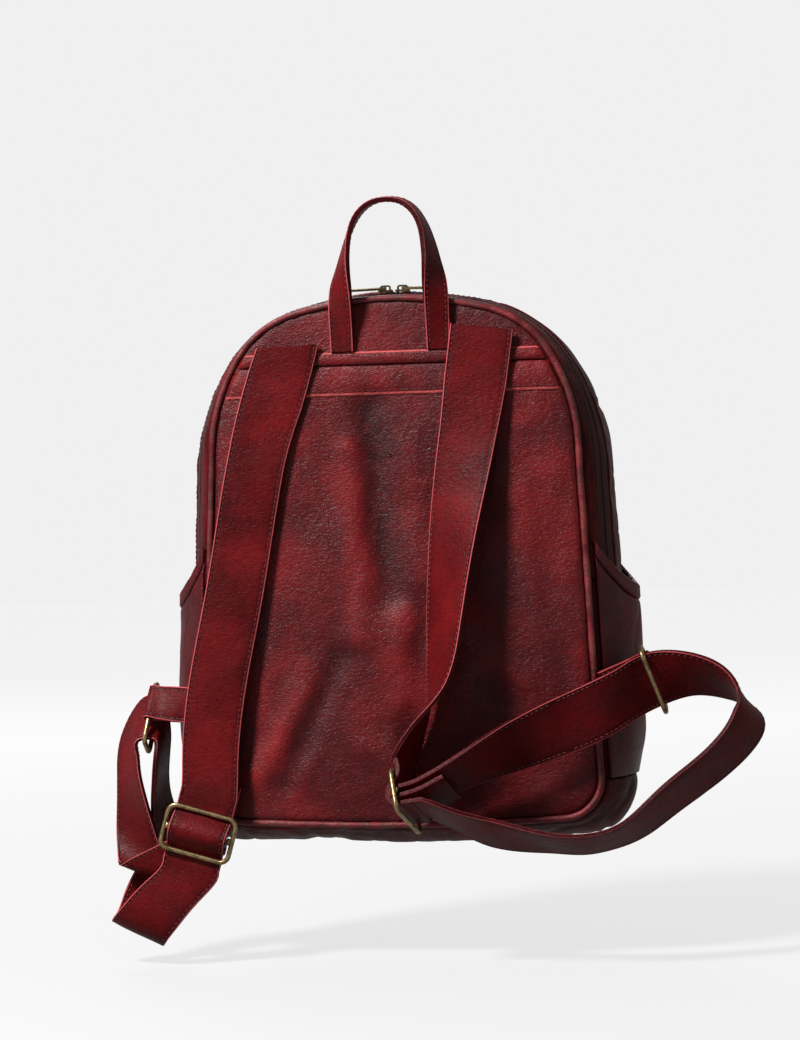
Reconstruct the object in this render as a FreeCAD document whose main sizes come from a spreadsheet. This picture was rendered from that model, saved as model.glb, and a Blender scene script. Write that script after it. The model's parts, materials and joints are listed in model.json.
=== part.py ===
import FreeCAD, Part
import math
import os
import Sketcher

# A small leather backpack that hangs by its carry handle.
# Frame: origin under the top of the handle, +Z up, +X to the wearer's left shoulder side as seen
# from the strap side, the strap side faces -Y and the front pocket faces +Y. Millimetres.

V = FreeCAD.Vector
X_AXIS = V(1, 0, 0)
Y_AXIS = V(0, 1, 0)
Z_AXIS = V(0, 0, 1)

SIZES = {
    # main compartment
    "bag_drop": 58,            # handle underside down to the top of the back panel
    "panel_height": 320,
    "bag_depth": 100,
    "leather": 2.0,            # wall of the outer shell
    "panel_wall": 2.5,         # leather with its foam backing
    "seam_gap": 0.1,           # between neighbouring sewn pieces
    "top_radius": 230,
    "top_angle": 15,
    "shoulder_radius": 60,
    "shoulder_angle": 59,
    "side_radius": 115,
    "side_angle": 87.5,
    "corner_radius": 24,
    "corner_angle": 176.5,
    "side_growth": 19,         # how far the gusset bellies out at mid depth
    "top_growth": 7,
    "base_growth": 15,
    "corner_growth": 8,
    "piping_radius": 2.0,
    "piping_inset": 0.5,
    "cutter_reach": 200,       # half the width of the blocks that cut it up
    # main zip, over the top from pocket to pocket
    "zip_centre": 22,          # from the back panel, along the depth
    "coil_width": 3.4,
    "coil_rise": 0.9,
    "tape_width": 6.3,
    "tape_wall": 0.9,
    "tape_sink": 0.8,
    "zip_end_drop": 232,       # handle underside down to the two zip ends
    "base_seam_drop": 352,     # handle underside down to the base seams
    # lining
    "lining_gap": 0.3,
    "lining_wall": 0.8,
    # yoke on the back panel
    "yoke_wall": 1.6,
    "yoke_upper_drop": 90,
    "yoke_lower_drop": 117,
    "welt_height": 8.5,
    # side pockets
    "pocket_stand": 8,         # how far a side pocket stands off the gusset
    "pocket_wall": 1.6,
    "pocket_drop": 236,        # lowest point of the pocket mouth
    "pocket_sag": 29,
    "pocket_curve": 45,        # height over which a side pocket draws in to its base seam
    "pocket_band": 9.5,
    # front pocket
    "front_width": 190,
    "front_height": 136,
    "front_depth": 18,
    "front_corner": 30,
    "front_drop": 224,
    "front_zip_length": 150,
    "front_zip_width": 12,
    # handle
    "handle_width": 20,
    "handle_foot_width": 14,
    "handle_wall": 3,
    "handle_spread": 29.5,       # half the distance between its two feet
    # shoulder straps
    "strap_width": 36,
    "strap_wall": 2.2,
    # brass hardware
    "wire_radius": 1.5,
    "glide_length": 46,
    "glide_width": 30,
    "glide_corner": 5,
    "glide_collar": 2.3,
    "ring_length": 43,
    "ring_width": 22,
    "ring_corner": 4,
    "fit_gap": 0.3,
    "tab_width": 22,
    "tab_wall": 1.6,
    # zip sliders
    "slider_length": 9,
    "slider_width": 7,
    "slider_wall": 1.2,
    "pull_length": 24,
    "pull_width": 7,
    "pull_wall": 1.4,
    "pin_radius": 0.8,
}

doc = FreeCAD.newDocument("leather_backpack")
sheet = doc.addObject("Spreadsheet::Sheet", "Sizes")
for row, (name, value) in enumerate(SIZES.items(), start=1):
    sheet.set("A%d" % row, name)
    sheet.set("B%d" % row, str(value))
    sheet.setAlias("B%d" % row, name)
doc.recompute()

nodes = []


def size(name):
    return float(getattr(sheet, name))


def publish(piece, label):
    """Give a finished sub-part its name and count it among those that are written."""
    piece.Label = label
    nodes.append(piece)
    return piece


# --- the bag's outline -----------------------------------------------------------------------

def polar(centre, radius, angle):
    """Point at an angle clockwise from straight up, in the X-Z plane."""
    return V(centre.x + radius * math.sin(angle), 0, centre.z + radius * math.cos(angle))


def outline_points(inset, bulge):
    """Right half of the outline as (start, middle, end) arcs and (start, end) lines."""
    a1 = math.radians(size("top_angle"))
    a2 = math.radians(size("shoulder_angle"))
    a3 = math.radians(size("side_angle"))
    a4 = math.radians(size("corner_angle"))
    grow = bulge * size("side_growth") / (math.sin(a3) - math.sin(a1))
    r1 = size("top_radius") - inset
    r2 = size("shoulder_radius") + grow - inset
    r3 = size("side_radius") + grow - inset
    r4 = size("corner_radius") + bulge * size("corner_growth") - inset
    top = -size("bag_drop") + bulge * size("top_growth") - inset
    floor = -size("bag_drop") - size("panel_height") - bulge * size("base_growth") + inset
    c1 = V(0, 0, top - r1)
    p1 = polar(c1, r1, a1)
    c2 = polar(p1, -r2, a1)
    p2 = polar(c2, r2, a2)
    c3 = polar(p2, -r3, a2)
    p3 = polar(c3, r3, a3)
    normal = V(math.sin(a3), 0, math.cos(a3))
    reach = (p3.dot(normal) - r4 - (floor + r4) * math.cos(a3)) / (
        math.sin(a4) * math.sin(a3) + (1 + math.cos(a4)) * math.cos(a3))
    r5 = reach + r4
    c5 = V(0, 0, floor + r5)
    c4 = polar(c5, reach, a4)
    arcs = [
        (c1, r1, 0.0, a1),
        (c2, r2, a1, a2),
        (c3, r3, a2, a3),
        (c4, r4, a3, a4),
        (c5, r5, a4, math.pi),
    ]
    runs = [tuple(polar(c, r, a) for a in (lo, (lo + hi) / 2, hi)) for c, r, lo, hi in arcs]
    runs.insert(3, (runs[2][2], runs[3][0]))
    return runs


def outline_wire(depth, inset=0.0, bulge=0.0):
    """Closed outline at one depth; it starts at the middle of the top."""
    half = outline_points(inset, bulge)
    mirrored = [tuple(V(-p.x, 0, p.z) for p in reversed(run)) for run in reversed(half)]
    edges = []
    for run in half + mirrored:
        points = [V(p.x, depth, p.z) for p in run]
        if len(points) == 2:
            edges.append(Part.LineSegment(*points).toShape())
        else:
            edges.append(Part.Arc(*points).toShape())
    return Part.Wire(edges)


def bulge_at(depth):
    """Belly of the gusset, 0 at both panels and 1 at mid depth, as a circular arc."""
    half = size("bag_depth") / 2
    rise = size("side_growth")
    radius = (half * half + rise * rise) / (2 * rise)
    return (math.sqrt(radius * radius - (depth - half) ** 2) - (radius - rise)) / rise


def belly(inset, tight=True):
    """Solid of the whole main compartment, drawn in by an inset all round, or hanging loose."""
    near = size("zip_centre")
    back = [0, near / 2, near] if tight else [0, near]
    stations = back + [size("bag_depth") * share for share in ((0.4, 0.6, 0.8, 1) if tight else (0.8, 1))]
    wires = [outline_wire(y, inset, bulge_at(y)) for y in stations]
    return Part.makeLoft(wires, True, True)


def plate(depth, wall, inset):
    """Flat panel with the bag's outline."""
    face = Part.Face(outline_wire(depth, inset))
    return face.extrude(V(0, wall, 0))


def side_reach(drop, depth):
    """Half width of the gusset at one height and depth."""
    wire = outline_wire(0, 0, bulge_at(depth))
    line = Part.LineSegment(V(1, 0, -drop), V(size("cutter_reach"), 0, -drop)).toShape()
    return max(vertex.Point.x for vertex in wire.section(line).Vertexes)


# --- feature helpers -------------------------------------------------------------------------

def feature(label, shape):
    piece = doc.addObject("Part::Feature", label)
    piece.Shape = shape
    return publish(piece, label)


def hidden(name, shape):
    piece = doc.addObject("Part::Feature", name)
    piece.Shape = shape
    return piece


def slab(name, low, high):
    """Cutting block; each corner coordinate is an expression on the sheet."""
    block = doc.addObject("Part::Box", name)
    for axis, lo, hi in zip("xyz", low, high):
        side = {"x": "Length", "y": "Width", "z": "Height"}[axis]
        block.setExpression("Placement.Base." + axis, lo)
        block.setExpression(side, "(%s) - (%s)" % (hi, lo))
    return block


def common(label, base, tool):
    piece = doc.addObject("Part::Common", label)
    piece.Base = base
    piece.Tool = tool
    return publish(piece, label)


def cut(name, base, tool):
    piece = doc.addObject("Part::Cut", name)
    piece.Base = base
    piece.Tool = tool
    return piece


# --- main compartment ------------------------------------------------------------------------

depth = size("bag_depth")
leather = size("leather")
edge = 2 * size("piping_radius") - 0.7
hug = size("piping_inset") + size("piping_radius") + size("seam_gap")

feature("back_panel", plate(0, size("panel_wall"), hug))
feature("front_panel", plate(depth - size("panel_wall"), size("panel_wall"), hug))

PIPING_SIDES = 6
piping_depth = size("piping_radius") - 0.8
for label, y in (("back_piping", piping_depth), ("front_piping", depth - piping_depth)):
    spine = outline_wire(y, size("piping_inset"))
    start = spine.Edges[0].valueAt(spine.Edges[0].FirstParameter)
    turns = [math.tau * step / PIPING_SIDES for step in range(PIPING_SIDES + 1)]
    radius = size("piping_radius")
    section = Part.makePolygon([start + V(0, math.cos(a) * radius, math.sin(a) * radius) for a in turns])
    feature(label, spine.makePipeShell([section], True, False))

outer = hidden("belly_outer", belly(0))
inner = hidden("belly_inner", belly(leather))
shell = cut("gusset_shell", outer, inner)
tape_outer = hidden("belly_tape_outer", belly(size("tape_sink")))
tape_inner = hidden("belly_tape_inner", belly(size("tape_sink") + size("tape_wall")))
tape_shell = cut("tape_shell", tape_outer, tape_inner)
coil_outer = hidden("belly_coil_outer", belly(-size("coil_rise") + size("tape_sink")))
coil_shell = cut("coil_shell", coil_outer, inner)

START = "Sizes.piping_radius * 2 - 0.7"
FINISH = "Sizes.bag_depth - Sizes.piping_radius * 2 + 0.7"
COIL_BACK = "Sizes.zip_centre - Sizes.coil_width / 2"
COIL_FRONT = "Sizes.zip_centre + Sizes.coil_width / 2"
TAPE_BACK = COIL_BACK + " - Sizes.tape_width"
TAPE_FRONT = COIL_FRONT + " + Sizes.tape_width"
ZIP_END = "-Sizes.zip_end_drop"
BASE_SEAM = "-Sizes.base_seam_drop"
WIDE = "Sizes.cutter_reach"
BELOW = "-Sizes.bag_drop - Sizes.panel_height * 1.2"
CLEAR = "Sizes.seam_gap"

upper_pieces = [
    ("zip_strip_back", shell, START, TAPE_BACK),
    ("main_zip_tape_back", tape_shell, TAPE_BACK, COIL_BACK),
    ("main_zip_coil", coil_shell, COIL_BACK, COIL_FRONT),
    ("main_zip_tape_front", tape_shell, COIL_FRONT, TAPE_FRONT),
    ("zip_strip_front", shell, TAPE_FRONT, FINISH),
]
for label, source, low, high in upper_pieces:
    block = slab(label + "_block", ("-" + WIDE, low, ZIP_END), (WIDE, high, "0"))
    common(label, source, block)

lower_pieces = [
    ("side_gusset_left", "-" + WIDE, "0", BASE_SEAM, ZIP_END),
    ("side_gusset_right", "0", WIDE, BASE_SEAM, ZIP_END),
    ("base_gusset", "-" + WIDE, WIDE, BELOW, BASE_SEAM),
]
for label, left, right, low, high in lower_pieces:
    block = slab(label + "_block", (left, START, low), (right, FINISH, high))
    common(label, shell, block)


# Cloth lining, a bag of its own inside the shell.
lining_inset = leather + size("lining_gap")
lining_outer = hidden("lining_outer", belly(lining_inset, False))
lining_inner = hidden("lining_inner", belly(lining_inset + size("lining_wall"), False))
lining_tube = cut("lining_tube", lining_outer, lining_inner)
block = slab("lining_block", ("-" + WIDE, START, BELOW), (WIDE, FINISH, "0"))
common("lining", lining_tube, block)
cloth = size("lining_wall") * 0.75
feature("lining_back", plate(size("panel_wall") + size("seam_gap"), cloth, lining_inset + size("lining_gap")))
front_cloth = depth - size("panel_wall") - size("seam_gap") - cloth
feature("lining_front", plate(front_cloth, cloth, lining_inset + size("lining_gap")))

# --- yoke and hidden pocket welt on the back panel --------------------------------------------


def yoke_piece(label, lower, upper, wall):
    """Band across the back panel, cut from a plate with the panel's outline."""
    face = Part.Face(outline_wire(0, hug + size("seam_gap")))
    sheet_solid = hidden(label + "_sheet", face.extrude(V(0, -wall, 0)))
    block = slab(label + "_block", ("-" + WIDE, "-10", lower), (WIDE, "0", upper))
    return common(label, sheet_solid, block)


yoke_wall = size("yoke_wall")
YOKE_TOP = "-Sizes.yoke_upper_drop"
WELT_FOOT = YOKE_TOP + " - Sizes.welt_height"
YOKE_FOOT = "-Sizes.yoke_lower_drop"
yoke_piece("pocket_welt", WELT_FOOT + " + Sizes.seam_gap", YOKE_TOP, yoke_wall)
yoke_piece("back_yoke", YOKE_FOOT, WELT_FOOT, yoke_wall * 0.6)

# --- side pockets -------------------------------------------------------------------------------


def pocket_wires(side, stand, drops):
    """Level sections of a side pocket, each an arc from the back seam to the front seam."""
    wires = []
    for drop in drops:
        foot = math.sin(min(1.0, (size("base_seam_drop") - drop) / size("pocket_curve")) * math.pi / 2)
        lift = size("fit_gap") + (stand - size("fit_gap")) * foot
        for_wall = []
        for wall in (lift, lift + size("pocket_wall")):
            ends = [
                V(side * (side_reach(drop, y) + size("fit_gap") + wall - lift), y, -drop)
                for y in (seam_back, seam_front)
            ]
            middle = V(side * (side_reach(drop, depth / 2) + wall), depth / 2, -drop)
            for_wall.append((ends[0], middle, ends[1]))
        inside, outside = for_wall
        wires.append(Part.Wire([
            Part.Arc(*inside).toShape(),
            Part.LineSegment(inside[2], outside[2]).toShape(),
            Part.Arc(*reversed(outside)).toShape(),
            Part.LineSegment(outside[0], inside[0]).toShape(),
        ]))
    return wires


seam_back = edge + 2
seam_front = depth - edge - 2
mouth_top = size("pocket_drop") - size("pocket_sag")
pocket_foot = size("base_seam_drop") - size("seam_gap")
pocket_drops = [mouth_top + (pocket_foot - mouth_top) * share for share in (0, 0.25, 0.5, 0.68, 0.8, 0.9, 1)]
half_run = depth / 2 - seam_back
mouth_radius = (half_run ** 2 + size("pocket_sag") ** 2) / (2 * size("pocket_sag"))


def mouth_cutter(lower_by):
    """Lying cylinder whose underside is the curved mouth of both side pockets."""
    half = size("cutter_reach")
    centre = V(-half, depth / 2, -size("pocket_drop") + mouth_radius - lower_by)
    return Part.makeCylinder(mouth_radius, half * 2, centre, X_AXIS)


for name, side in (("left", -1), ("right", 1)):
    cloth = Part.makeLoft(pocket_wires(side, size("pocket_stand"), pocket_drops), True, True)
    feature("side_pocket_" + name, cloth.cut(mouth_cutter(size("pocket_band"))))
    rim = cloth.common(mouth_cutter(size("pocket_band"))).cut(mouth_cutter(0))
    feature("side_pocket_band_" + name, rim)

# --- leather bands ------------------------------------------------------------------------------


def frames(stations, square):
    """Centre, across and thickness directions at each station of a band, square on or as laid."""
    found = []
    for index, (centre, across) in enumerate(stations):
        before = stations[max(index - 1, 0)][0]
        after = stations[min(index + 1, len(stations) - 1)][0]
        along = (after - before).normalize()
        if square:
            across = across - along * across.dot(along)
        across = across.normalize()
        found.append((centre, across, along.cross(across).normalize()))
    return found


def smooth(rows, spacing):
    """Stations (centre, across, width) along a smooth curve, both of its edges splines."""
    marks = [0.0]
    for before, after in zip(rows, rows[1:]):
        marks.append(marks[-1] + math.sqrt((after[0] - before[0]).Length))
    borders = []
    for side in (-0.5, 0.5):
        border = Part.BSplineCurve()
        points = [centre + across.normalize() * width * side for centre, across, width in rows]
        border.interpolate(Points=points, Parameters=marks)
        borders.append(border)
    found = []
    for index, (before, after) in enumerate(zip(rows, rows[1:])):
        steps = max(1, round((after[0] - before[0]).Length / spacing))
        for step in range(steps):
            share = step / steps
            mark = marks[index] + (marks[index + 1] - marks[index]) * share
            low, high = (border.value(mark) for border in borders)
            width = before[2] + (after[2] - before[2]) * share
            found.append(((low + high) * 0.5, high - low, width))
    return found + [rows[-1]]


def lofted(sections):
    """Ruled solids through the sections, halved until each one closes the right way out."""
    solid = Part.makeLoft(sections, True, True)
    if solid.Volume > 0:
        return [solid]
    half = len(sections) // 2
    return lofted(sections[:half + 1]) + lofted(sections[half:])


def band(stations, widths, wall, spacing=20, square=True):
    """Flat band of leather through its stations, curved between them unless spacing is 0."""
    rows = [(centre, V(across), width) for (centre, across), width in zip(stations, widths)]
    if spacing:
        rows = smooth(rows, spacing)
    sections = []
    for (centre, across, out), row in zip(frames([row[:2] for row in rows], square), rows):
        side = across * (row[2] / 2)
        rise = out * (wall / 2)
        corners = [centre - side - rise, centre + side - rise, centre + side + rise, centre - side + rise]
        sections.append(Part.makePolygon(corners + corners[:1]))
    lengths = lofted(sections)
    return lengths[0].multiFuse(lengths[1:]).Solids[0] if lengths[1:] else lengths[0]


def stations_from(rows):
    return [(V(*place), V(*across)) for place, across in rows]


# Carry handle: flat on the panel at its feet, turned edge on where the hand goes.
spread = size("handle_spread")
grip = size("handle_wall") / 2
left_leg = [
    ((-spread, -2.2, -size("yoke_upper_drop") + 0.2), (1, 0, 0), 0.0),
    ((-spread, -3.6, -75), (0.98, -0.12, 0), 0.1),
    ((-spread + 0.5, -6.4, -56), (0.87, -0.45, 0), 0.3),
    ((-spread + 2, -5.5, -40), (0.5, -0.86, 0), 0.7),
    ((-spread + 5.5, -3, -21), (0.2, -0.98, 0), 1.0),
    ((-spread + 12, -2, -6.5), (0.05, -0.99, -0.1), 1.0),
    ((-spread + 21, -1, -0.2 + grip / 2), (0, -0.99, -0.12), 1.0),
]
crown = [((0, -1, grip + 0.4), (0, -0.99, -0.12), 1.0)]
right_leg = [((-x, y, z), (-a, b, c), share) for (x, y, z), (a, b, c), share in reversed(left_leg)]
rows = left_leg + crown + right_leg
foot = size("handle_foot_width")
widths = [foot + (size("handle_width") - foot) * share for place, across, share in rows]
handle_stations = stations_from([row[:2] for row in rows])
feature("carry_handle", band(handle_stations, widths, size("handle_wall")))


class Glide:
    """Place of a three-bar strap adjuster: across its bars, down the strap and outward."""

    def __init__(self, centre, across, down):
        self.centre = V(*centre)
        self.down = V(*down).normalize()
        across = V(*across)
        self.across = (across - self.down * across.dot(self.down)).normalize()
        self.out = self.down.cross(self.across)

    def at(self, down, out):
        return self.centre + self.down * down + self.out * out

    def placement(self):
        rows = (self.across, self.down * -1, self.out)
        matrix = FreeCAD.Matrix(
            rows[0].x, rows[1].x, rows[2].x, self.centre.x,
            rows[0].y, rows[1].y, rows[2].y, self.centre.y,
            rows[0].z, rows[1].z, rows[2].z, self.centre.z)
        return FreeCAD.Placement(matrix)


GLIDES = {
    "left": Glide((-124, -14, -380.5), (0.961, 0, -0.277), (-0.277, 0, -0.961)),
    "right": Glide((6, -30.5, -361), (-0.20, -0.88, 0.43), (0.19, -0.47, -0.86)),
}
strap_wall = size("strap_wall")
strap_width = size("strap_width")
wrap_radius = size("wire_radius") + size("fit_gap") + strap_wall / 2
over_bar = wrap_radius + size("fit_gap") + strap_wall
behind_bar = size("wire_radius") + size("fit_gap") + strap_wall / 2
bar_pitch = size("glide_width") / 2 - size("wire_radius")
entry = bar_pitch + 7

# Shoulder straps from the yoke to their adjusters.
UPPER = {
    "left": [
        ((-62.5, -4.2, -86), (1, 0, -0.1)),
        ((-73, -4.6, -118), (0.953, 0, -0.3)),
        ((-83, -5.5, -152), (0.965, 0, -0.25)),
        ((-98, -7, -230), (0.975, 0, -0.2)),
        ((-108.5, -9, -280), (0.975, 0, -0.2)),
        ((-115.5, -10.5, -328), (0.965, 0, -0.23)),
    ],
    "right": [
        ((56.4, -4.2, -77.6), (1, 0, -0.07)),
        ((52, -5, -108.5), (1, -0.03, -0.03)),
        ((46.9, -7, -140.4), (1, -0.12, 0.05)),
        ((39, -11.5, -187), (0.9, -0.43, 0)),
        ((34.8, -15, -218), (0.8, -0.6, 0)),
        ((31.3, -20, -253), (0.68, -0.73, 0.03)),
        ((25.5, -24.5, -292), (0.47, -0.8, 0.36)),
        ((13, -22.5, -318), (0.1, -0.87, 0.44)),
    ],
}
# The strap beyond the adjuster: down to the loop, through the ring and back to the middle bar.
LOOP = {
    "left": [
        ((-143.7, -12.5, -418), (0.94, 0, -0.34)),
        ((-156, -12.5, -431.5), (0.91, 0, -0.42)),
        ((-163.3, -8, -439.5), (0.9, 0, -0.44)),
        ((-165.9, 0, -442), (0.9, 0, -0.44)),
        ((-164.5, 8, -438), (0.9, 0.03, -0.44)),
        ((-160, 15, -424), (0.86, 0.28, -0.43)),
        ((-154, 22.5, -404), (0.62, 0.72, -0.3)),
        ((-151.5, 22.5, -384), (0.36, 0.92, -0.15)),
        ((-153.5, 19, -364), (0.12, 0.99, 0)),
        ((-153.5, 16.5, -348), (0.04, 0.99, 0.1)),
        ((-151.5, 14.5, -331), (0.06, 0.95, 0.28)),
        ((-151.5, 14.5, -320), (0.03, 0.86, 0.5)),
        ((-153.7, 14.1, -313.2), (-0.05, 0.735, 0.675)),
        ((-158, 13.8, -311.1), (-0.13, 0.70, 0.70)),
        ((-165.3, 14, -313.4), (-0.1, 0.76, 0.64)),
        ((-168.8, 13, -322), (-0.3, 0.78, 0.55)),
        ((-171.3, 12, -334), (-0.5, 0.78, 0.37)),
        ((-171, 10.5, -348), (-0.6, 0.76, 0.24)),
        ((-168.5, 9, -366), (-0.72, 0.63, 0.28)),
        ((-166, 8, -384), (-0.85, 0.4, 0.33)),
        ((-163, 5.5, -399), (-0.93, 0.12, 0.34)),
        ((-160.5, 1, -406), (-0.94, 0, 0.34)),
        ((-155, -3, -404), (-0.94, 0, 0.34)),
        ((-141, -4.5, -397), (-0.945, 0, 0.32)),
    ],
    "right": [
        ((37, -33.5, -372.5), (-0.13, -0.87, 0.47)),
        ((61.6, -32, -381.4), (0.05, -0.85, 0.53)),
        ((93.3, -32, -386.8), (-0.13, -0.9, 0.41)),
        ((116, -31.5, -387.5), (-0.07, -0.92, 0.39)),
        ((140, -28, -380), (-0.2, -0.9, 0.35)),
        ((162, -21, -363.5), (-0.22, -0.85, 0.47)),
        ((185.7, -12.5, -346), (-0.34, -0.84, 0.42)),
        ((204.5, -5, -328), (-0.42, -0.8, 0.42)),
        ((211, 0, -313), (-0.42, -0.75, 0.52)),
        ((201.5, 5.5, -299.5), (-0.3, -0.72, 0.62)),
        ((179, 9, -290.5), (-0.1, -0.68, 0.72)),
        ((153.5, 8, -293), (-0.2, -0.35, 0.91)),
        ((136, -2, -301.5), (-0.08, -0.25, 0.96)),
        ((119, -11, -310.5), (-0.08, -0.12, 0.99)),
        ((98, -18, -319), (0.03, -0.2, 0.98)),
        ((67, -24, -331.5), (0.1, -0.5, 0.86)),
        ((38, -28.5, -345), (0.05, -0.78, 0.62)),
    ],
}
# How each strap reaches its adjuster, in the adjuster's plane (down, out).
ARRIVES = {
    "left": [(-entry - 5, -behind_bar), (-entry, -behind_bar)],
    "right": [(-entry - 3, -behind_bar), (-entry, -behind_bar)],
}
# Which way each strap leaves its adjuster: straight on behind the last bar, or back off the panel.
LEAVES = {
    "left": [(7.2, 1), (bar_pitch - 1.3, -behind_bar - 0.1), (entry, -behind_bar - 0.3)],
    "right": [(6.4, 2.6), (8, -3), (8.6, -9)],
}
# Which side of the middle bar the fixed end runs off to: towards the loop, or towards the yoke.
RUNS_OFF = {"left": 1, "right": -1}
LOOP_STARTS = {
    "left": [(entry + 0.3, -behind_bar - 0.3), (entry + 5, -behind_bar - 0.5)],
    "right": [(8.6, -9.3), (8.8, -12)],
}
LOOP_ENDS = {"left": [(9.3, -8.3)], "right": [(-3.2, -13), (-wrap_radius, -8.3)]}
LEADS = {"left": [(9, -8.3), (5.4, -7.8), (3.2, -5)], "right": [(-wrap_radius, -8), (-wrap_radius, -4.5)]}
# The stitched end beyond its turn round the middle bar, in the adjuster's plane (down, out).
TAILS = {
    "left": [(-4.4, -6.8), (-9, -7.6), (-20, -7.6), (-33, -7)],
    "right": [(2.9, -9), (2.6, -14), (1, -21), (-1, -30)],
}


def facing(glide, rows):
    """Stations in an adjuster's own plane, with the strap square to its bars."""
    return [(glide.at(*row), glide.across) for row in rows]


def even(stations):
    return [strap_width] * len(stations)


for name, glide in GLIDES.items():
    upper = stations_from(UPPER[name]) + facing(glide, ARRIVES[name])
    feature("shoulder_strap_" + name, band(upper, even(upper), strap_wall))

    rows = [(-entry + 0.3, -behind_bar), (1.3 - bar_pitch, -behind_bar - 0.1), (-7.2, 1), (0, over_bar)]
    wrap = facing(glide, rows + LEAVES[name])
    feature("strap_in_adjuster_" + name, band(wrap, even(wrap), strap_wall, 3))

    side = RUNS_OFF[name]
    last_down, last_out = LEAVES[name][-1]
    loop = facing(glide, LOOP_STARTS[name]) + stations_from(LOOP[name])
    loop += [(place, across * -side) for place, across in facing(glide, LOOP_ENDS[name])]
    feature("strap_loop_" + name, band(loop, even(loop), strap_wall, square=name == "right"))

    turn = [math.radians(degrees) for degrees in range(0, 181, 30)]
    rows = LEADS[name]
    rows += [(side * wrap_radius * math.cos(a), wrap_radius * math.sin(a)) for a in turn]
    rows += [(-side * wrap_radius, -4.5)] + TAILS[name]
    hook = facing(glide, rows)
    feature("strap_end_" + name, band(hook, even(hook), strap_wall, 0))

# --- brass hardware -----------------------------------------------------------------------------


def origin_plane(body, role):
    return next(plane for plane in body.Origin.OriginFeatures if plane.Role == role)


def new_body(name):
    return doc.addObject("PartDesign::Body", name)


def new_sketch(body, role, offset=None):
    sketch = body.newObject("Sketcher::SketchObject", body.Name + "_sketch")
    sketch.AttachmentSupport = (origin_plane(body, role), [""])
    sketch.MapMode = "FlatFace"
    if offset:
        sketch.setExpression("AttachmentOffset.Base.z", offset)
    return sketch


def rounded_rectangle(sketch, length, width, radius):
    """Centred rounded rectangle. Each size is its expression on the sheet and its value."""
    half_long = length[1] / 2
    half_wide = width[1] / 2
    corner = radius[1]
    flat = half_long - corner
    rise = half_wide - corner

    def straight(x1, y1, x2, y2):
        sketch.addGeometry(Part.LineSegment(V(x1, y1, 0), V(x2, y2, 0)))

    def turn(x, y, start):
        circle = Part.Circle(V(x, y, 0), Z_AXIS, corner)
        sketch.addGeometry(Part.ArcOfCircle(circle, math.radians(start), math.radians(start + 90)))

    straight(0, half_wide, flat, half_wide)
    turn(flat, rise, 0)
    straight(half_long, rise, half_long, -rise)
    turn(flat, -rise, 270)
    straight(flat, -half_wide, -flat, -half_wide)
    turn(-flat, -rise, 180)
    straight(-half_long, -rise, -half_long, rise)
    turn(-flat, rise, 90)
    straight(-flat, half_wide, 0, half_wide)

    def rule(*terms):
        return sketch.addConstraint(Sketcher.Constraint(*terms))

    joints = [(0, 2, 1, 2), (1, 1, 2, 1), (2, 2, 3, 2), (3, 1, 4, 1), (4, 2, 5, 2), (5, 1, 6, 1),
              (6, 2, 7, 2), (7, 1, 8, 1)]
    for joint in joints:
        rule("Tangent", *joint)
    rule("Coincident", 8, 2, 0, 1)
    rule("Horizontal", 0)
    rule("Horizontal", 8)
    rule("Vertical", 6)
    rule("Symmetric", 4, 1, 4, 2, -2)
    rule("Symmetric", 2, 1, 2, 2, -1)
    rule("PointOnObject", 0, 1, -2)
    for other in (3, 5, 7):
        rule("Equal", 1, other)
    drive(sketch, rule("Radius", 1, corner), radius[0])
    drive(sketch, rule("DistanceX", 6, 1, 2, 1, length[1]), length[0])
    drive(sketch, rule("DistanceY", 4, 2, 8, 1, width[1]), width[0])


def drive(sketch, index, expression):
    """Bind one dimension of a sketch to the sheet."""
    sketch.setExpression("Constraints[%d]" % index, expression)


def plain(name):
    return ("Sizes." + name, size(name))


def wire_loop(label, length, width, corner, radius):
    """Closed loop of wire round a rounded rectangle, long along its own X."""
    path = doc.addObject("Sketcher::SketchObject", label + "_path")
    rounded_rectangle(path, length, width, corner)
    section = doc.addObject("Part::RegularPolygon", label + "_section")
    section.Polygon = WIRE_SIDES
    section.setExpression("Circumradius", radius)
    section.setExpression("Placement.Base.y", "(%s) / 2" % width[0])
    section.Placement.Rotation = FreeCAD.Rotation(Y_AXIS, 90)
    doc.recompute()
    sweep = doc.addObject("Part::Sweep", label)
    sweep.Sections = [section]
    sweep.Spine = (path, ["Edge%d" % number for number in range(1, 10)])
    sweep.Solid = True
    sweep.Frenet = False
    return publish(sweep, label)


WIRE_SIDES = 8


def brass_loop(label, kind, placement):
    def centre_line(name):
        return ("Sizes.%s - Sizes.wire_radius * 2" % name, size(name) - 2 * size("wire_radius"))

    loop = wire_loop(label, centre_line(kind + "_length"), centre_line(kind + "_width"),
                     plain(kind + "_corner"), "Sizes.wire_radius")
    loop.Placement = placement


def bar_between(label, placement):
    """Middle bar of an adjuster with its two crimped collars, along its own X."""
    inner = "(Sizes.glide_length - Sizes.wire_radius * 4)"
    pieces = []
    for part_name, radius, length, start in (
            ("rod", "Sizes.wire_radius", inner, "-%s / 2" % inner),
            ("collar_a", "Sizes.glide_collar", "Sizes.wire_radius", "-%s / 2" % inner),
            ("collar_b", "Sizes.glide_collar", "Sizes.wire_radius",
             "%s / 2 - Sizes.wire_radius" % inner)):
        rod = doc.addObject("Part::Cylinder", label + "_" + part_name)
        rod.setExpression("Radius", radius)
        rod.setExpression("Height", length)
        rod.setExpression("Placement.Base.x", start)
        rod.Placement.Rotation = FreeCAD.Rotation(Y_AXIS, 90)
        pieces.append(rod)
    whole = doc.addObject("Part::MultiFuse", label)
    whole.Shapes = pieces
    whole.Placement = placement
    return publish(whole, label)


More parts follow.
